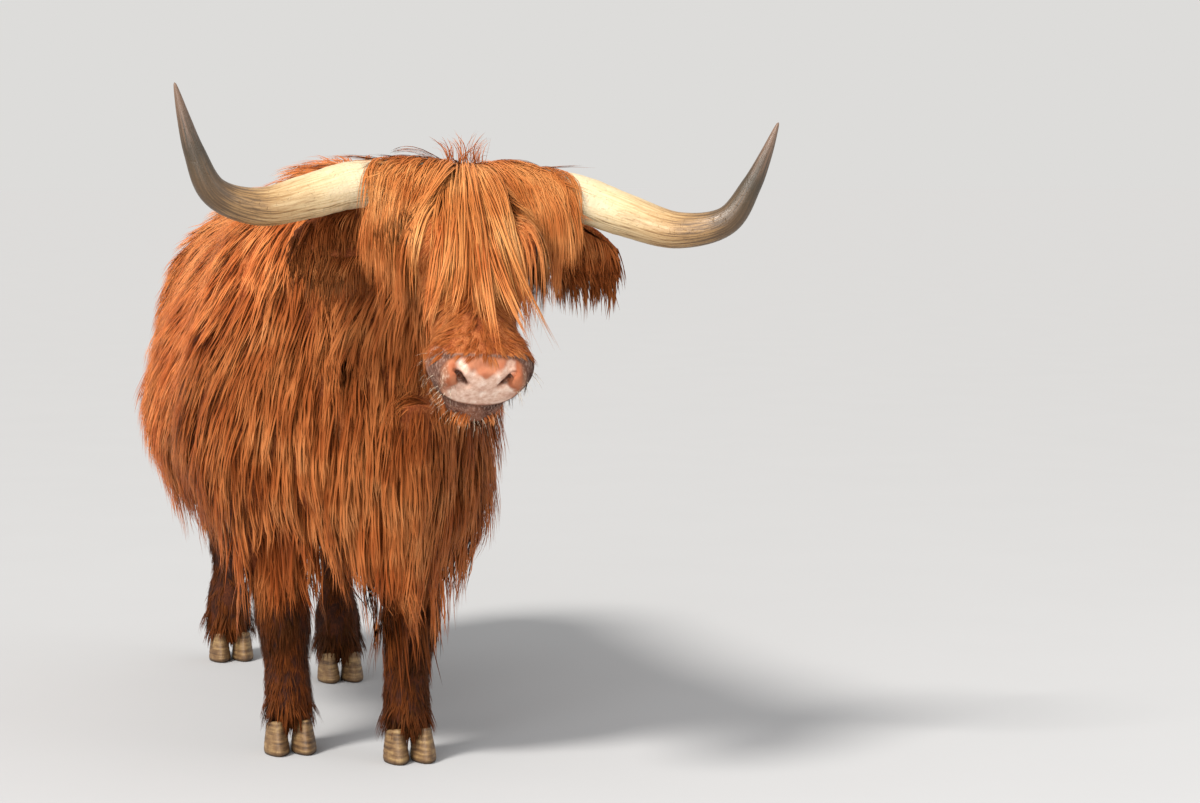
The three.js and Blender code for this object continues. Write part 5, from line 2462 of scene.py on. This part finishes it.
@dataclass(frozen=True)
class DewClaw:
    """A small blunt claw at the back of a foot, above the hoof."""

    foot: Array
    side: int

    def mesh(self) -> bpy.types.Mesh:
        """A short bent cone with a rounded end.

        Returns:
            The mesh.
        """
        start = self.foot + [self.side * 0.024, 0.052, 0.120]
        bend = np.array([[0, -0.02, 0.012], [0, 0.006, 0.0], [0.002, 0.024, -0.018]])
        path = smooth_path(start + bend, 10)
        _, right, up = carried_frames(path, np.array([1.0, 0, 0]))
        radius = 0.0125 * np.sqrt(1 - np.linspace(0, 0.96, 10) ** 2)
        angle = np.linspace(0, 2 * math.pi, 16, endpoint=False)
        ring = np.cos(angle)[:, None] * right[:, None] + np.sin(angle)[:, None] * up[:, None]
        points, faces = loft(path[:, None] + ring * radius[:, None, None])
        return tidy_mesh("dew_claw", points, faces)


@dataclass(frozen=True)
class Eyeball:
    """One eye, with the cornea's bulge where it looks."""

    head: HeadForm
    side: int

    def mesh(self) -> bpy.types.Mesh:
        """A fine ball with marks for iris and pupil.

        Returns:
            The mesh.
        """
        out, along, upward = self.head.gaze(self.side)
        work = bmesh.new()
        bmesh.ops.create_uvsphere(work, u_segments=64, v_segments=40, radius=1.0)
        mesh = bpy.data.meshes.new("eye")
        work.to_mesh(mesh)
        work.free()
        ray = unit(np.roll(points_of(mesh), 1, axis=1))
        spread = np.degrees(np.arccos(np.clip(ray[:, 0], -1, 1)))
        radius = self.head.eye_radius * (1 + 0.05 * rise(spread, 40, 12))
        turned = ray[:, :1] * out + ray[:, 1:2] * along + ray[:, 2:] * upward
        middle = np.asarray(self.head.eye) * [self.side, 1, 1]
        place_points(mesh, self.head.frame.world(middle + turned * radius[:, None]))
        turn_outwards(mesh)
        mesh.shade_smooth()
        wide, high = np.degrees(np.arcsin(np.clip(ray[:, 1:3], -1, 1))).T
        oval = np.hypot(wide / 17, high / 9)
        put_values(mesh, "iris", rise(spread, 36, 32) * (ray[:, 0] > 0))
        put_values(mesh, "pupil", rise(oval, 1.1, 0.9) * (ray[:, 0] > 0))
        return mesh


# ---- Whiskers and lashes -------------------------------------------------------------------------
@dataclass(frozen=True)
class Bristles:
    """Stiff single hairs set on the skin: whiskers and eyelashes. Sizes in metres."""

    name: str
    length: float
    thickness: float
    bend: float
    seed: int
    steps: int = 7
    grain: float = 0.003

    def tree(self, finish: bpy.types.Material) -> bpy.types.NodeTree:
        """A bent tapering hair put at every point, along its own way, then made real.

        Args:
            finish: the hairs' material.

        Returns:
            The tree, with named inputs for the hair's sizes and the seed.
        """
        tree = bpy.data.node_groups.new(self.name, "GeometryNodeTree")
        tree.interface.new_socket("Roots", in_out="INPUT", socket_type="NodeSocketGeometry")
        for size in ("Length", "Thickness", "Bend"):
            tree.interface.new_socket(size, in_out="INPUT", socket_type="NodeSocketFloat")
        tree.interface.new_socket("Seed", in_out="INPUT", socket_type="NodeSocketInt")
        tree.interface.new_socket("Hairs", in_out="OUTPUT", socket_type="NodeSocketGeometry")
        given = add_node(tree, "NodeGroupInput").outputs

        def node(kind: str, settings: dict | None = None, **inputs: object) -> Socket:
            """Adds a node and gives its first output."""
            return add_node(tree, kind, settings, **inputs).outputs[0]

        way = {"mode": "DIRECTION"}
        line = node("GeometryNodeCurvePrimitiveLine", way, Direction=(0, 0, 1), Length=given["Length"])
        line = node("GeometryNodeResampleCurve", None, Curve=line, Count=self.steps)
        along = node("GeometryNodeSplineParameter")
        arc = node("ShaderNodeMath", {"operation": "MULTIPLY", 0: along, 1: along})
        arc = node("ShaderNodeMath", {"operation": "MULTIPLY", 0: arc, 1: given["Bend"]})
        lean = node("ShaderNodeCombineXYZ", None, X=arc)
        line = node("GeometryNodeSetPosition", None, Geometry=line, Offset=lean)
        taper = node("ShaderNodeMath", {"operation": "SUBTRACT", 0: 1.08, 1: along})
        circle = node("GeometryNodeCurvePrimitiveCircle", None, Resolution=5, Radius=given["Thickness"])
        hair = node(
            "GeometryNodeCurveToMesh", None, Curve=line, Profile_Curve=circle, Scale=taper, Fill_Caps=True
        )
        vector = {"data_type": "FLOAT_VECTOR"}
        axes = [node("GeometryNodeInputNamedAttribute", vector, Name=word) for word in ("way", "lean")]
        named = {"primary_axis": "Z", "secondary_axis": "X"}
        turn = node("FunctionNodeAxesToRotation", named, Primary_Axis=axes[0], Secondary_Axis=axes[1])
        spread = {"data_type": "FLOAT", 2: 0.55, 3: 1.1}
        size = add_node(tree, "FunctionNodeRandomValue", spread, Seed=given["Seed"]).outputs[1]
        hairs = node(
            "GeometryNodeInstanceOnPoints", None,
            Points=given["Roots"], Instance=hair, Rotation=turn, Scale=size,
        )
        real = node("GeometryNodeRealizeInstances", None, Geometry=hairs)
        done = node("GeometryNodeSetMaterial", None, Geometry=real, Material=finish)
        add_node(tree, "NodeGroupOutput", None, Hairs=done)
        return tree

    def mesh(
        self, roots: Array, way: Array, lean: Array, patch: Array, finish: bpy.types.Material
    ) -> bpy.types.Mesh:
        """The hairs as one plain mesh.

        Args:
            roots: where they start.
            way: which way each one grows.
            lean: which way each one bends.
            patch: each one's place on the skin's unwrap.
            finish: their material.

        Returns:
            The mesh.
        """
        holder = shown(self.name, mesh_of(self.name, roots, np.empty((0, 3), int)))
        for word, values in (("way", way), ("lean", lean)):
            put_ways(holder.data, word, values)
        tree = self.tree(finish)
        setting = holder.modifiers.new(self.name, "NODES")
        setting.node_group = tree
        words = ("Length", "Thickness", "Bend", "Seed")
        sizes = dict(zip(words, (self.length, self.thickness, self.bend, self.seed)))
        for item in tree.interface.items_tree:
            if item.in_out == "INPUT" and item.name in sizes:
                setting[item.identifier] = sizes[item.name]
        made = finished(holder)
        each = len(made.vertices) // len(roots)
        corner = np.empty(len(made.loops), np.int32)
        made.loops.foreach_get("vertex_index", corner)
        step = np.stack([corner % each % 5 / 5, corner % each / each], axis=1) - 0.5
        flat = patch[np.minimum(corner // each, len(roots) - 1)] + step * self.grain
        fill(made.uv_layers.new(name=UNWRAP), "uv", flat)
        made.shade_smooth()
        return made


# ---- The coat's pieces -------------------------------------------------------------------------
Where = Callable[[Array, Array, Array], Array]


@dataclass(frozen=True)
class Growth:
    """One piece of the coat: where it grows, how densely, and how long."""

    name: str
    slot: str
    style: LockStyle
    where: Where
    scale: Callable[[Array, Array], Array] = lambda p, n: np.ones(len(p))
    stands_for: tuple[str, ...] = ()


@dataclass
class Fleece:
    """The whole coat over the skin: which locks grow where."""

    head: HeadFrame
    lay: Lay
    marks: Markings
    middle_y: float = 0.18
    hoof_edge: tuple[float, float] = (0.055, 0.065)

    def side(self, p: Array, side: int) -> Array:
        """1 on one side of the middle line of the body, 0 on the other."""
        return (side * (p[:, 0] - self.lay.back_line(p[:, 1])) >= 0).astype(float)

    def underneath(self, n: Array) -> Array:
        """How far a place faces the ground."""
        return rise(-n[:, 2], 0.25, 0.6)

    def body(self) -> list[Growth]:
        """Flanks, belly and neck.

        Returns:
            The pieces.
        """
        flank = LockStyle(
            spacing=0.0315, strands=8, length=0.165, width=0.0048, segments=4, stand=0.036, lift=0.4,
            droop=0.3, cling=0.45, wave=0.006, wave_length=0.17, spread=0.016, gather=0.6, frizz=0.004,
            turn=0.07,
        )
        belly = replace(
            flank, spacing=0.041, width=0.0060, stand=0.045, cling=0.2, wave=0.010, wave_length=0.14,
            frizz=0.006,
        )
        neck = replace(
            flank, spacing=0.0225, length=0.19, width=0.0044, segments=5, stand=0.044,
            wave_length=0.19,
        )

        def length(p: Array, n: Array) -> Array:
            """Longest on the chest and the lower flanks, shortest along the back and over the rump.

            Args:
                p: the places.
                n: the way out of the skin at each place.

            Returns:
                The share of the full length.
            """
            at = profile([(-0.6, 1.05), (-0.3, 0.95), (0.2, 0.95), (0.6, 0.9), (0.9, 0.8)])(p[:, 1])
            brisket = 1 + 0.2 * rise(p[:, 1], -0.45, -0.6) * rise(p[:, 2], 0.62, 0.5)
            level = self.head.to_level(p)
            round_head = rise(np.linalg.norm(level * [1, 1.3, 1] - [0, -60, -120], axis=1), 420, 230)
            by_height = profile([(0.4, 1.05), (0.7, 1.05), (1.0, 0.95), (1.2, 0.7)])
            return at * brisket * (1 - 0.6 * round_head) * by_height(p[:, 2])

        def quarter(side: int, end: int) -> Where:
            """One side of the trunk behind its middle or ahead of it, down to the belly.

            Args:
                side: 1 for the left, -1 for the right.
                end: 1 for behind, -1 for ahead.

            Returns:
                How thickly places are sown.
            """
            return lambda p, n, w: (
                part_of(w, Region.TRUNK) * self.side(p, side)
                * (end * (p[:, 1] - self.middle_y) >= 0) * (1 - self.underneath(n))
            )

        def half_neck(side: int) -> Where:
            """One side of the neck."""
            return lambda p, n, w: part_of(w, Region.NECK) * self.side(p, side)

        def below(p: Array, n: Array, w: Array) -> Array:
            """The belly, and a thin growth over the udder."""
            return part_of(w, Region.TRUNK) * self.underneath(n) + 0.5 * part_of(w, Region.UDDER)

        made = []
        for side, word in SIDES:
            for end, part in ((1, "rump"), (-1, "shoulder")):
                made.append(Growth(f"coat_{part}_{word}", "coat", flank, quarter(side, end), length))
            made.append(Growth(f"coat_neck_{word}", "coat", neck, half_neck(side), length))
        return [*made, Growth("coat_belly", "coat", belly, below, length)]

    def legs(self) -> list[Growth]:
        """Long hair on the upper legs, short and flat down the shanks, a cuff over each hoof.

        Returns:
            The pieces.
        """
        fore = LockStyle(
            spacing=0.0195, strands=6, length=0.120, width=0.0042, segments=3, stand=0.017, lift=0.35,
            droop=0.3, cling=0.6, wave=0.003, wave_length=0.15, spread=0.009, gather=0.55,
            frizz=0.0025,
        )
        cuff = replace(
            fore, spacing=0.0145, strands=7, length=0.062, width=0.0034, stand=0.026, lift=1.1,
            droop=0.8, cling=0,
        )
        front = profile(
            [(0.05, 0.50), (0.11, 0.58), (0.19, 0.30), (0.25, 0.50), (0.36, 0.60), (0.5, 0.9), (0.65, 1.2)]
        )
        rear = profile(
            [(0.05, 0.50), (0.11, 0.58), (0.2, 0.30), (0.35, 0.40), (0.46, 0.62), (0.6, 1.0), (0.75, 1.25)]
        )

        def one_leg(region: Region, side: int) -> Where:
            """One leg above its hoof, denser on the shank, where the hair is short.

            Args:
                region: the pair of legs.
                side: 1 for the left, -1 for the right.

            Returns:
                How thickly places are sown.
            """
            return lambda p, n, w: (
                part_of(w, region) * self.side(p, side)
                * (1 + 1.1 * rise(p[:, 2], 0.42, 0.25)) * rise(p[:, 2], *self.hoof_edge)
            )

        def pasterns(p: Array, n: Array, w: Array) -> Array:
            """A ring just above the hooves."""
            legs = part_of(w, Region.FORELEG, Region.HINDLEG)
            return legs * rise(p[:, 2], *self.hoof_edge) * rise(p[:, 2], 0.130, 0.110)

        kinds = (
            ("foreleg", Region.FORELEG, front, fore),
            ("hindleg", Region.HINDLEG, rear, replace(fore, spacing=0.0215)),
        )
        made = [
            Growth(
                f"coat_{kind}_{word}", "leg_coat", style, one_leg(region, side),
                lambda p, n, lengths=lengths: lengths(p[:, 2]),
            )
            for side, word in SIDES
            for kind, region, lengths, style in kinds
        ]
        ends = profile([(0.06, 0.7), (0.10, 1.0)])
        return [*made, Growth("coat_cuffs", "leg_coat", cuff, pasterns, lambda p, n: ends(p[:, 2]))]

    def face(self) -> list[Growth]:
        """Short hair over the face, longer on the cheeks and under the jaw.

        Returns:
            The pieces.
        """
        face = LockStyle(
            spacing=0.0114, strands=6, length=0.062, width=0.0031, segments=3, stand=0.011, lift=0.2,
            droop=0.2, cling=0.5, wave=0.0015, wave_length=0.1, spread=0.006, gather=0.4, frizz=0.0015,
            turn=0.07,
        )
        jaw = replace(
            face, spacing=0.0185, strands=7, length=0.13, width=0.0042, segments=4, stand=0.034,
            droop=0.6, cling=0.2, wave=0.004, wave_length=0.12, spread=0.008, frizz=0.003,
        )

        def short(p: Array, n: Array) -> Array:
            """Shortest on the bridge of the nose and at the muzzle, longest at the back of the cheeks.

            Args:
                p: the places.
                n: the way out of the skin at each place.

            Returns:
                The share of the full length.
            """
            at = self.head.face(p)
            down = profile([(-60, 1.9), (60, 1.6), (170, 1.2), (260, 1.0), (330, 0.8), (400, 0.6)])(at[:, 2])
            out = profile([(0, 0.8), (40, 0.9), (80, 1.2), (120, 1.4)])(np.abs(at[:, 0]))
            out = out + 0.5 * rise(at[:, 1], 0, -40) * rise(at[:, 2], 300, 200)
            clear = (np.maximum(HeadForm.eye_distance(at) - 25, 0) * 0.95 + 5) * MM / face.length
            return np.minimum(down * out, clear)

        def covered(p: Array, n: Array, w: Array) -> Array:
            """Not on the bare nose, nor on the eyelids.

            Args:
                p: the places.
                n: the way out of the skin at each place.
                w: each place's share of the regions.

            Returns:
                How thickly each place is sown.
            """
            open_skin = self.marks.bare(p)["bare"]
            at = self.head.face(p)
            near_eye = 1 + 1.5 * rise(HeadForm.eye_distance(at), 60, 35)
            bridge = 1 + 0.7 * rise(np.abs(at[:, 0]), 45, 15)
            hairy = part_of(w, Region.FACE) + 0.12 * part_of(w, Region.POLL) + part_of(w, Region.NOSE)
            return hairy * near_eye * bridge * (1 - rise(open_skin, 0.1, 0.5))

        def under_jaw(p: Array, n: Array, w: Array) -> Array:
            """The jaw and the throat, apart from the lips."""
            return part_of(w, Region.JAW) * (1 - rise(self.marks.bare(p)["bare"], 0.1, 0.5))

        beard = profile([(-60, 1.3), (150, 1.15), (300, 0.8), (420, 0.25)])
        return [
            Growth("coat_face", "coat", face, covered, short),
            Growth("coat_jaw", "coat", jaw, under_jaw, lambda p, n: beard(self.head.face(p)[:, 2])),
        ]

    def from_whorl(self, p: Array) -> Array:
        """How far places on the poll are from the whorl's middle, along the head, in millimetres."""
        at = self.head.face(p)
        return np.hypot(at[:, 0], at[:, 2] - Lay.WHORL[2])

    def fringe(self) -> list[Growth]:
        """The long fringe from the poll over brow and eyes, and the hair of the ears.

        Returns:
            The pieces.
        """
        fringe = LockStyle(
            spacing=0.0112, strands=12, length=0.37, width=0.0034, segments=7, stand=0.044, lift=0.5,
            droop=0.93, hang=0.6, cling=0.06, wave=0.003, wave_length=0.2, spread=0.013, gather=0.6,
            frizz=0.003, turn=0.09, flat=0.7, even=0.5, clear=0.009,
        )
        tuft = replace(
            fringe, spacing=0.010, strands=9, length=0.076, width=0.0022, segments=5, stand=0.06,
            lift=9.0, droop=0.15, hang=1.0, cling=0.0, spread=0.014, gather=0.1, frizz=0.009, turn=0.9,
            even=0.1, flat=-0.15,
        )
        ear = replace(
            fringe, spacing=0.0145, strands=7, length=0.088, width=0.0036, segments=4, stand=0.016,
            lift=0.35, droop=0.85, hang=0.7, wave=0.003, wave_length=0.15, spread=0.007, flat=-0.15,
        )

        by_turn = profile(
            [(0, 1.14), (8, 1.0), (17, 0.76), (34, 0.64), (55, 0.60), (80, 0.46), (110, 0.38), (180, 0.38)]
        )

        def long(p: Array, n: Array) -> Array:
            """The middle strands reach nearly to the muzzle, the outer ones hang over the horns' bases.

            Args:
                p: the places.
                n: the way out of the skin at each place.

            Returns:
                The share of the full length.
            """
            at = self.head.face(p)
            turn = np.degrees(np.arctan2(np.abs(at[:, 0]), at[:, 2] - Lay.WHORL[2]))
            return by_turn(turn) * (1 - 0.2 * rise(self.from_whorl(p), 60, 190)) + 0.04

        def crown(p: Array, n: Array, w: Array) -> Array:
            """A small round place at the whorl."""
            return part_of(w, Region.POLL) * rise(self.from_whorl(p), 52, 26)

        def half_poll(side: int) -> Where:
            """One side of the poll, densest at the whorl and over the horn.

            Args:
                side: 1 for the left, -1 for the right.

            Returns:
                How thickly places are sown.
            """

            def where(p: Array, n: Array, w: Array) -> Array:
                """How thickly each place is sown.

                Args:
                    p: the places.
                    n: the way out of the skin at each place.
                    w: each place's share of the regions.

                Returns:
                    One number for each place.
                """
                at = self.head.face(p)
                whorl = 1 + rise(self.from_whorl(p), 60, 20)
                half = part_of(w, Region.POLL) * (side * at[:, 0] > 0) * whorl
                over_horn = 1 + 0.5 * rise(np.abs(at[:, 0]), 40, 80)
                return half * (1 - 0.35 * rise(at[:, 2], 30, 80)) * over_horn

            return where

        def one_ear(side: int) -> Where:
            """One ear, densest underneath.

            Args:
                side: 1 for the left, -1 for the right.

            Returns:
                How thickly places are sown.
            """
            return lambda p, n, w: (
                part_of(w, Region.EAR) * (side * self.head.face(p)[:, 0] > 0)
                * (1 + 1.5 * rise(-n[:, 2], 0, 0.6))
            )

        def ear_length(p: Array, n: Array) -> Array:
            """Longest at the tip and underneath."""
            out = np.abs(self.head.face(p)[:, 0])
            return 0.8 + 0.25 * rise(out, 110, 250) + 0.25 * rise(-n[:, 2], 0, 0.7)

        made = [Growth("poll_tuft", "fringe", tuft, crown)]
        for side, word in SIDES:
            stands_for = ("forelock",) if side > 0 else ()
            made.append(Growth(f"fringe_{word}", "fringe", fringe, half_poll(side), long, stands_for))
            made.append(Growth(f"coat_ear_{word}", "coat", ear, one_ear(side), ear_length))
        return made

    def tail(self) -> list[Growth]:
        """Short hair down the tail and the long switch at its end.

        Returns:
            The pieces.
        """
        dock = LockStyle(
            spacing=0.0145, strands=6, length=0.10, width=0.0044, segments=4, stand=0.014, lift=0.3,
            droop=0.4, cling=0.6, wave=0.004, wave_length=0.12, spread=0.006, gather=0.6,
        )
        switch = replace(
            dock, strands=10, length=0.34, segments=7, stand=0.026, droop=0.8, hang=0.5, cling=0.2,
            wave=0.010, wave_length=0.18, spread=0.012, gather=0.3, frizz=0.005,
        )

        def reach(p: Array, n: Array) -> Array:
            """No strand hangs below the switch."""
            low = node_box("tail_switch")[0][2]
            return np.clip((p[:, 2] - low) / 0.36, 0.12, 1)

        def at_the_end(p: Array, n: Array, w: Array) -> Array:
            """The end of the tail."""
            return part_of(w, Region.SWITCH)

        return [
            Growth("coat_tail", "coat", dock, lambda p, n, w: part_of(w, Region.TAIL)),
            Growth("tail_hair", "coat", switch, at_the_end, reach, ("tail_switch",)),
        ]

    def pieces(self) -> list[Growth]:
        """Every piece of the coat."""
        return self.body() + self.legs() + self.face() + self.fringe() + self.tail()


@dataclass
class Cow:
    """The whole animal: skin, coat, horns, claws, eyes and whiskers."""

    head: HeadForm
    hide: Hide
    lay: Lay
    marks: Markings
    made: list[bpy.types.Object] = field(default_factory=list)

    FLESH = (
        "trunk", "neck", "head", "muzzle", "lower_jaw", "ear_left", "ear_right", "foreleg_left",
        "foreleg_right", "hindleg_left", "hindleg_right", "tail", "udder",
    )

    @classmethod
    def of_frame(cls) -> Cow:
        """Sizes the animal from the frame.

        Returns:
            The cow.
        """
        frame = HeadFrame.of_frame()
        head = HeadForm(frame)
        lay = Lay.of_frame(frame)
        return cls(head, Hide(head), lay, Markings(frame, lay))

    def keep(
        self, name: str, mesh: bpy.types.Mesh, finish: bpy.types.Material, slot: str, *nodes: str
    ) -> None:
        """Puts a piece in the scene: its finish, its body and the nodes that it stands for.

        Args:
            name: the piece's name.
            mesh: the mesh.
            finish: its material.
            slot: not used.
            nodes: the nodes that it stands for.
        """
        mesh.materials.clear()
        mesh.materials.append(finish)
        made = shown(name, mesh)
        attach(made, "root")
        if nodes:
            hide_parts(*nodes)
        self.made.append(made)
        mesh.calc_loop_triangles()
        log.info("%s: %d triangles", name, len(mesh.loop_triangles))

    def skin(self) -> None:
        """Unwraps the skin, marks it and shows it."""
        mesh = self.hide.mesh
        self.unwrap(mesh)
        points = points_of(mesh)
        for name, value in self.marks.bare(points).items():
            put_values(mesh, name, value)
        put_values(mesh, "dark", self.marks.dark(points))
        put_values(mesh, "fair", self.marks.fair(points))
        self.keep("skin", mesh, HideSkin().material(), "coat", *self.FLESH)

    @staticmethod
    def unwrap(mesh: bpy.types.Mesh) -> None:
        """An unwrap of the skin's own shape, for the skin and for the roots of its hair.

        Args:
            mesh: the skin.
        """
        holder = shown("unwrapping", mesh)
        bpy.context.view_layer.objects.active = holder
        holder.select_set(True)
        mesh.uv_layers.new(name=UNWRAP)
        bpy.ops.object.mode_set(mode="EDIT")
        bpy.ops.mesh.select_all(action="SELECT")
        bpy.ops.uv.smart_project(angle_limit=math.radians(62), island_margin=0.002)
        bpy.ops.object.mode_set(mode="OBJECT")
        bpy.data.objects.remove(holder)

    def coat(self) -> None:
        """Grows every piece of the coat."""
        mesh = self.hide.mesh
        follicles = Follicles(mesh, self.hide.weights)
        points, normals = points_of(mesh), normals_of(mesh)
        outer = [Horn(self.head.frame, side).mesh() for side, _ in SIDES]
        near = Nearness.of(
            np.vstack([points, *[points_of(horn) for horn in outer]]),
            np.vstack([normals, *[normals_of(horn) for horn in outer]]),
        )
        grower = Coat(near, self.lay, self.marks)
        finish = HighlandHair().material()
        a, b, c = (follicles.points[follicles.corner[:, k]] for k in range(3))
        normal = unit(np.cross(b - a, c - a))
        for i, growth in enumerate(Fleece(self.head.frame, self.lay, self.marks).pieces()):
            rng = np.random.default_rng(COAT_SEED + i)
            density = np.clip(growth.where(follicles.middle, normal, follicles.share), 0, 3)
            roots = follicles.sow(density, growth.style.spacing, rng)
            scale = growth.scale(roots.points, roots.normals)
            piece = grower.grow(growth.name, roots, growth.style, scale, rng)
            self.keep(growth.name, piece, finish, growth.slot, *growth.stands_for)
        self.bristles(follicles, normal)

    def bristles(self, follicles: Follicles, normal: Array) -> None:
        """Whiskers on the lips and the chin, and the lashes of both eyes.

        Args:
            follicles: the skin's triangles.
            normal: the way out of each of them.
        """
        frame, rng = self.head.frame, np.random.default_rng(WHISKER_SEED)
        at = frame.face(follicles.middle)
        wide = np.abs(at[:, 0])
        lips = rise(at[:, 2], 345, 385) * rise(at[:, 1], 8, -30) * rise(wide, 40, 70)
        chin = rise(at[:, 1], -76, -96) * rise(at[:, 2], 320, 370)
        nose = part_of(follicles.share, Region.NOSE, Region.FACE, Region.JAW)
        roots = follicles.sow(nose * np.maximum(lips, chin), 0.0150, rng)
        flow = self.lay.at(roots.points, roots.normals, roots.weights)
        way = unit(roots.normals + 0.45 * flow + rng.normal(0, 0.16, flow.shape))
        finish = StiffHair("whisker_keratin", "#5b3d28", "#e6d3b8").material()
        whiskers = Bristles("whiskers", length=0.034, thickness=0.00045, bend=0.009, seed=21)
        lean = np.tile(DOWN, (len(way), 1))
        piece = whiskers.mesh(roots.points - roots.normals * 0.001, way, lean, roots.patch, finish)
        self.keep("whiskers", piece, finish, "coat")
        finish = StiffHair("lash_keratin", "#1c0f08", "#4a2a16").material()
        for side, word in SIDES:
            start, way, lean = self.head.lashes(side)
            nearest = [int(np.argmin(np.linalg.norm(follicles.middle - p, axis=1))) for p in start]
            patch = follicles.patch[nearest].mean(axis=1)
            lashes = Bristles(f"lashes_{word}", length=0.024, thickness=0.0005, bend=0.006, seed=31)
            piece = lashes.mesh(start, way, lean, patch, finish)
            self.keep(f"lashes_{word}", piece, finish, "coat")

    def hard_parts(self) -> None:
        """Horns, claws, dew claws and eyes."""
        horn, hoof, eye = HornSheath().material(), HoofHorn().material(), LivingEye().material()
        for side, word in SIDES:
            self.keep(f"horn_sheath_{word}", Horn(self.head.frame, side).mesh(), horn, "horn", f"horn_{word}")
            self.keep(f"eyeball_{word}", Eyeball(self.head, side).mesh(), eye, "eye", f"eye_{word}")
            for pair in ("fore", "hind"):
                nodes = [f"hoof_{pair}_{word}_{claw}" for claw in ("inner", "outer")]
                for node in nodes:
                    self.keep(node.replace("hoof", "claw"), Claw(node).mesh(), hoof, "hoof", node)
                foot = (node_middle(nodes[0]) + node_middle(nodes[1])) / 2 * [1, 1, 0]
                dew = joined_mesh("dew_claws", [DewClaw(foot, s).mesh() for s in (1, -1)])
                self.keep(f"dew_claws_{pair}_{word}", dew, hoof, "hoof")

    def build(self) -> None:
        """Makes every piece."""
        self.skin()
        self.coat()
        self.hard_parts()


# ---- Studio --------------------------------------------------------------------------------------
@dataclass(frozen=True)
class Studio:
    """A plain pale floor, soft lights and the camera."""

    camera_at: tuple[float, float, float] = (-1.171, -6.056, 1.20)
    yaw: float = 15.0
    pitch: float = -4.68
    lens: float = 85.5
    room: str = "#dddcda"
    floor_half: float = 150.0
    floor_gap: float = 0.001

    def light(self, name: str, at: Sequence[float], aim: Sequence[float], size: float, power: float) -> None:
        """A square soft light that faces a place.

        Args:
            name: its name.
            at: where it stands.
            aim: what it faces.
            size: its width.
            power: how strong it is.
        """
        lamp = bpy.data.lights.new(name, "AREA")
        lamp.size, lamp.energy = size, power
        made = shown(name, lamp)
        made.location = at
        made.rotation_euler = (Vector(aim) - Vector(at)).to_track_quat("-Z", "Y").to_euler()

    def sun(self, name: str, at: Sequence[float], softness: float, power: float) -> None:
        """An even light from one direction, with shadows as soft as a lamp so many degrees wide gives.

        Args:
            name: its name.
            at: where it comes from.
            softness: its width in degrees.
            power: how strong it is.
        """
        lamp = bpy.data.lights.new(name, "SUN")
        lamp.angle, lamp.energy = math.radians(softness), power
        lamp.color = linear("#fffaf3")[:3]
        made = shown(name, lamp)
        made.rotation_euler = (-Vector(at)).to_track_quat("-Z", "Y").to_euler()

    def build(self) -> None:
        """Sets the floor, the world, the lights and the camera."""
        scene = bpy.context.scene
        half, height = self.floor_half, SOLIDS_BOX[0][2] - self.floor_gap
        corners = np.array([[-half, -half, 0], [half, -half, 0], [half, half, 0], [-half, half, 0]])
        sheet = mesh_of("studio_floor", corners + [0, 0, height], np.array([[0, 1, 2, 3]]))
        floor = shown("studio_floor", sheet)
        floor.data.materials.append(PaleFloor().material())
        world = bpy.data.worlds.new("soft_room")
        world.use_nodes = True
        glow = world.node_tree.nodes["Background"]
        glow.inputs["Color"].default_value = linear(self.room)
        scene.world = world
        self.sun("key", (-3.55, -2.15, 4.4), 14, 4.0)
        self.light("front_fill", (-2.6, -5.2, 1.9), (0.0, -0.6, 0.7), 3.5, 190)
        self.light("fill", (4.5, -4.0, 2.2), (0, -0.2, 0.7), 3.0, 60)
        camera = shown("camera", bpy.data.cameras.new("camera"))
        yaw, pitch = math.radians(self.yaw), math.radians(self.pitch)
        look = Vector((math.sin(yaw) * math.cos(pitch), math.cos(yaw) * math.cos(pitch), math.sin(pitch)))
        camera.location = self.camera_at
        camera.rotation_euler = look.to_track_quat("-Z", "Y").to_euler()
        camera.data.lens, camera.data.sensor_width = self.lens, 36
        scene.camera = camera
        scene.view_settings.view_transform = "Standard"


def main() -> None:
    """Builds the cow and the studio."""
    logging.basicConfig(level=logging.INFO, format="%(name)s %(message)s")
    Studio().build()
    cow = Cow.of_frame()
    cow.build()
    total = sum(len(made.data.loop_triangles) for made in cow.made)
    log.info("whole model: %d pieces, %d triangles", len(cow.made), total)


if __name__ == "__main__":
    main()
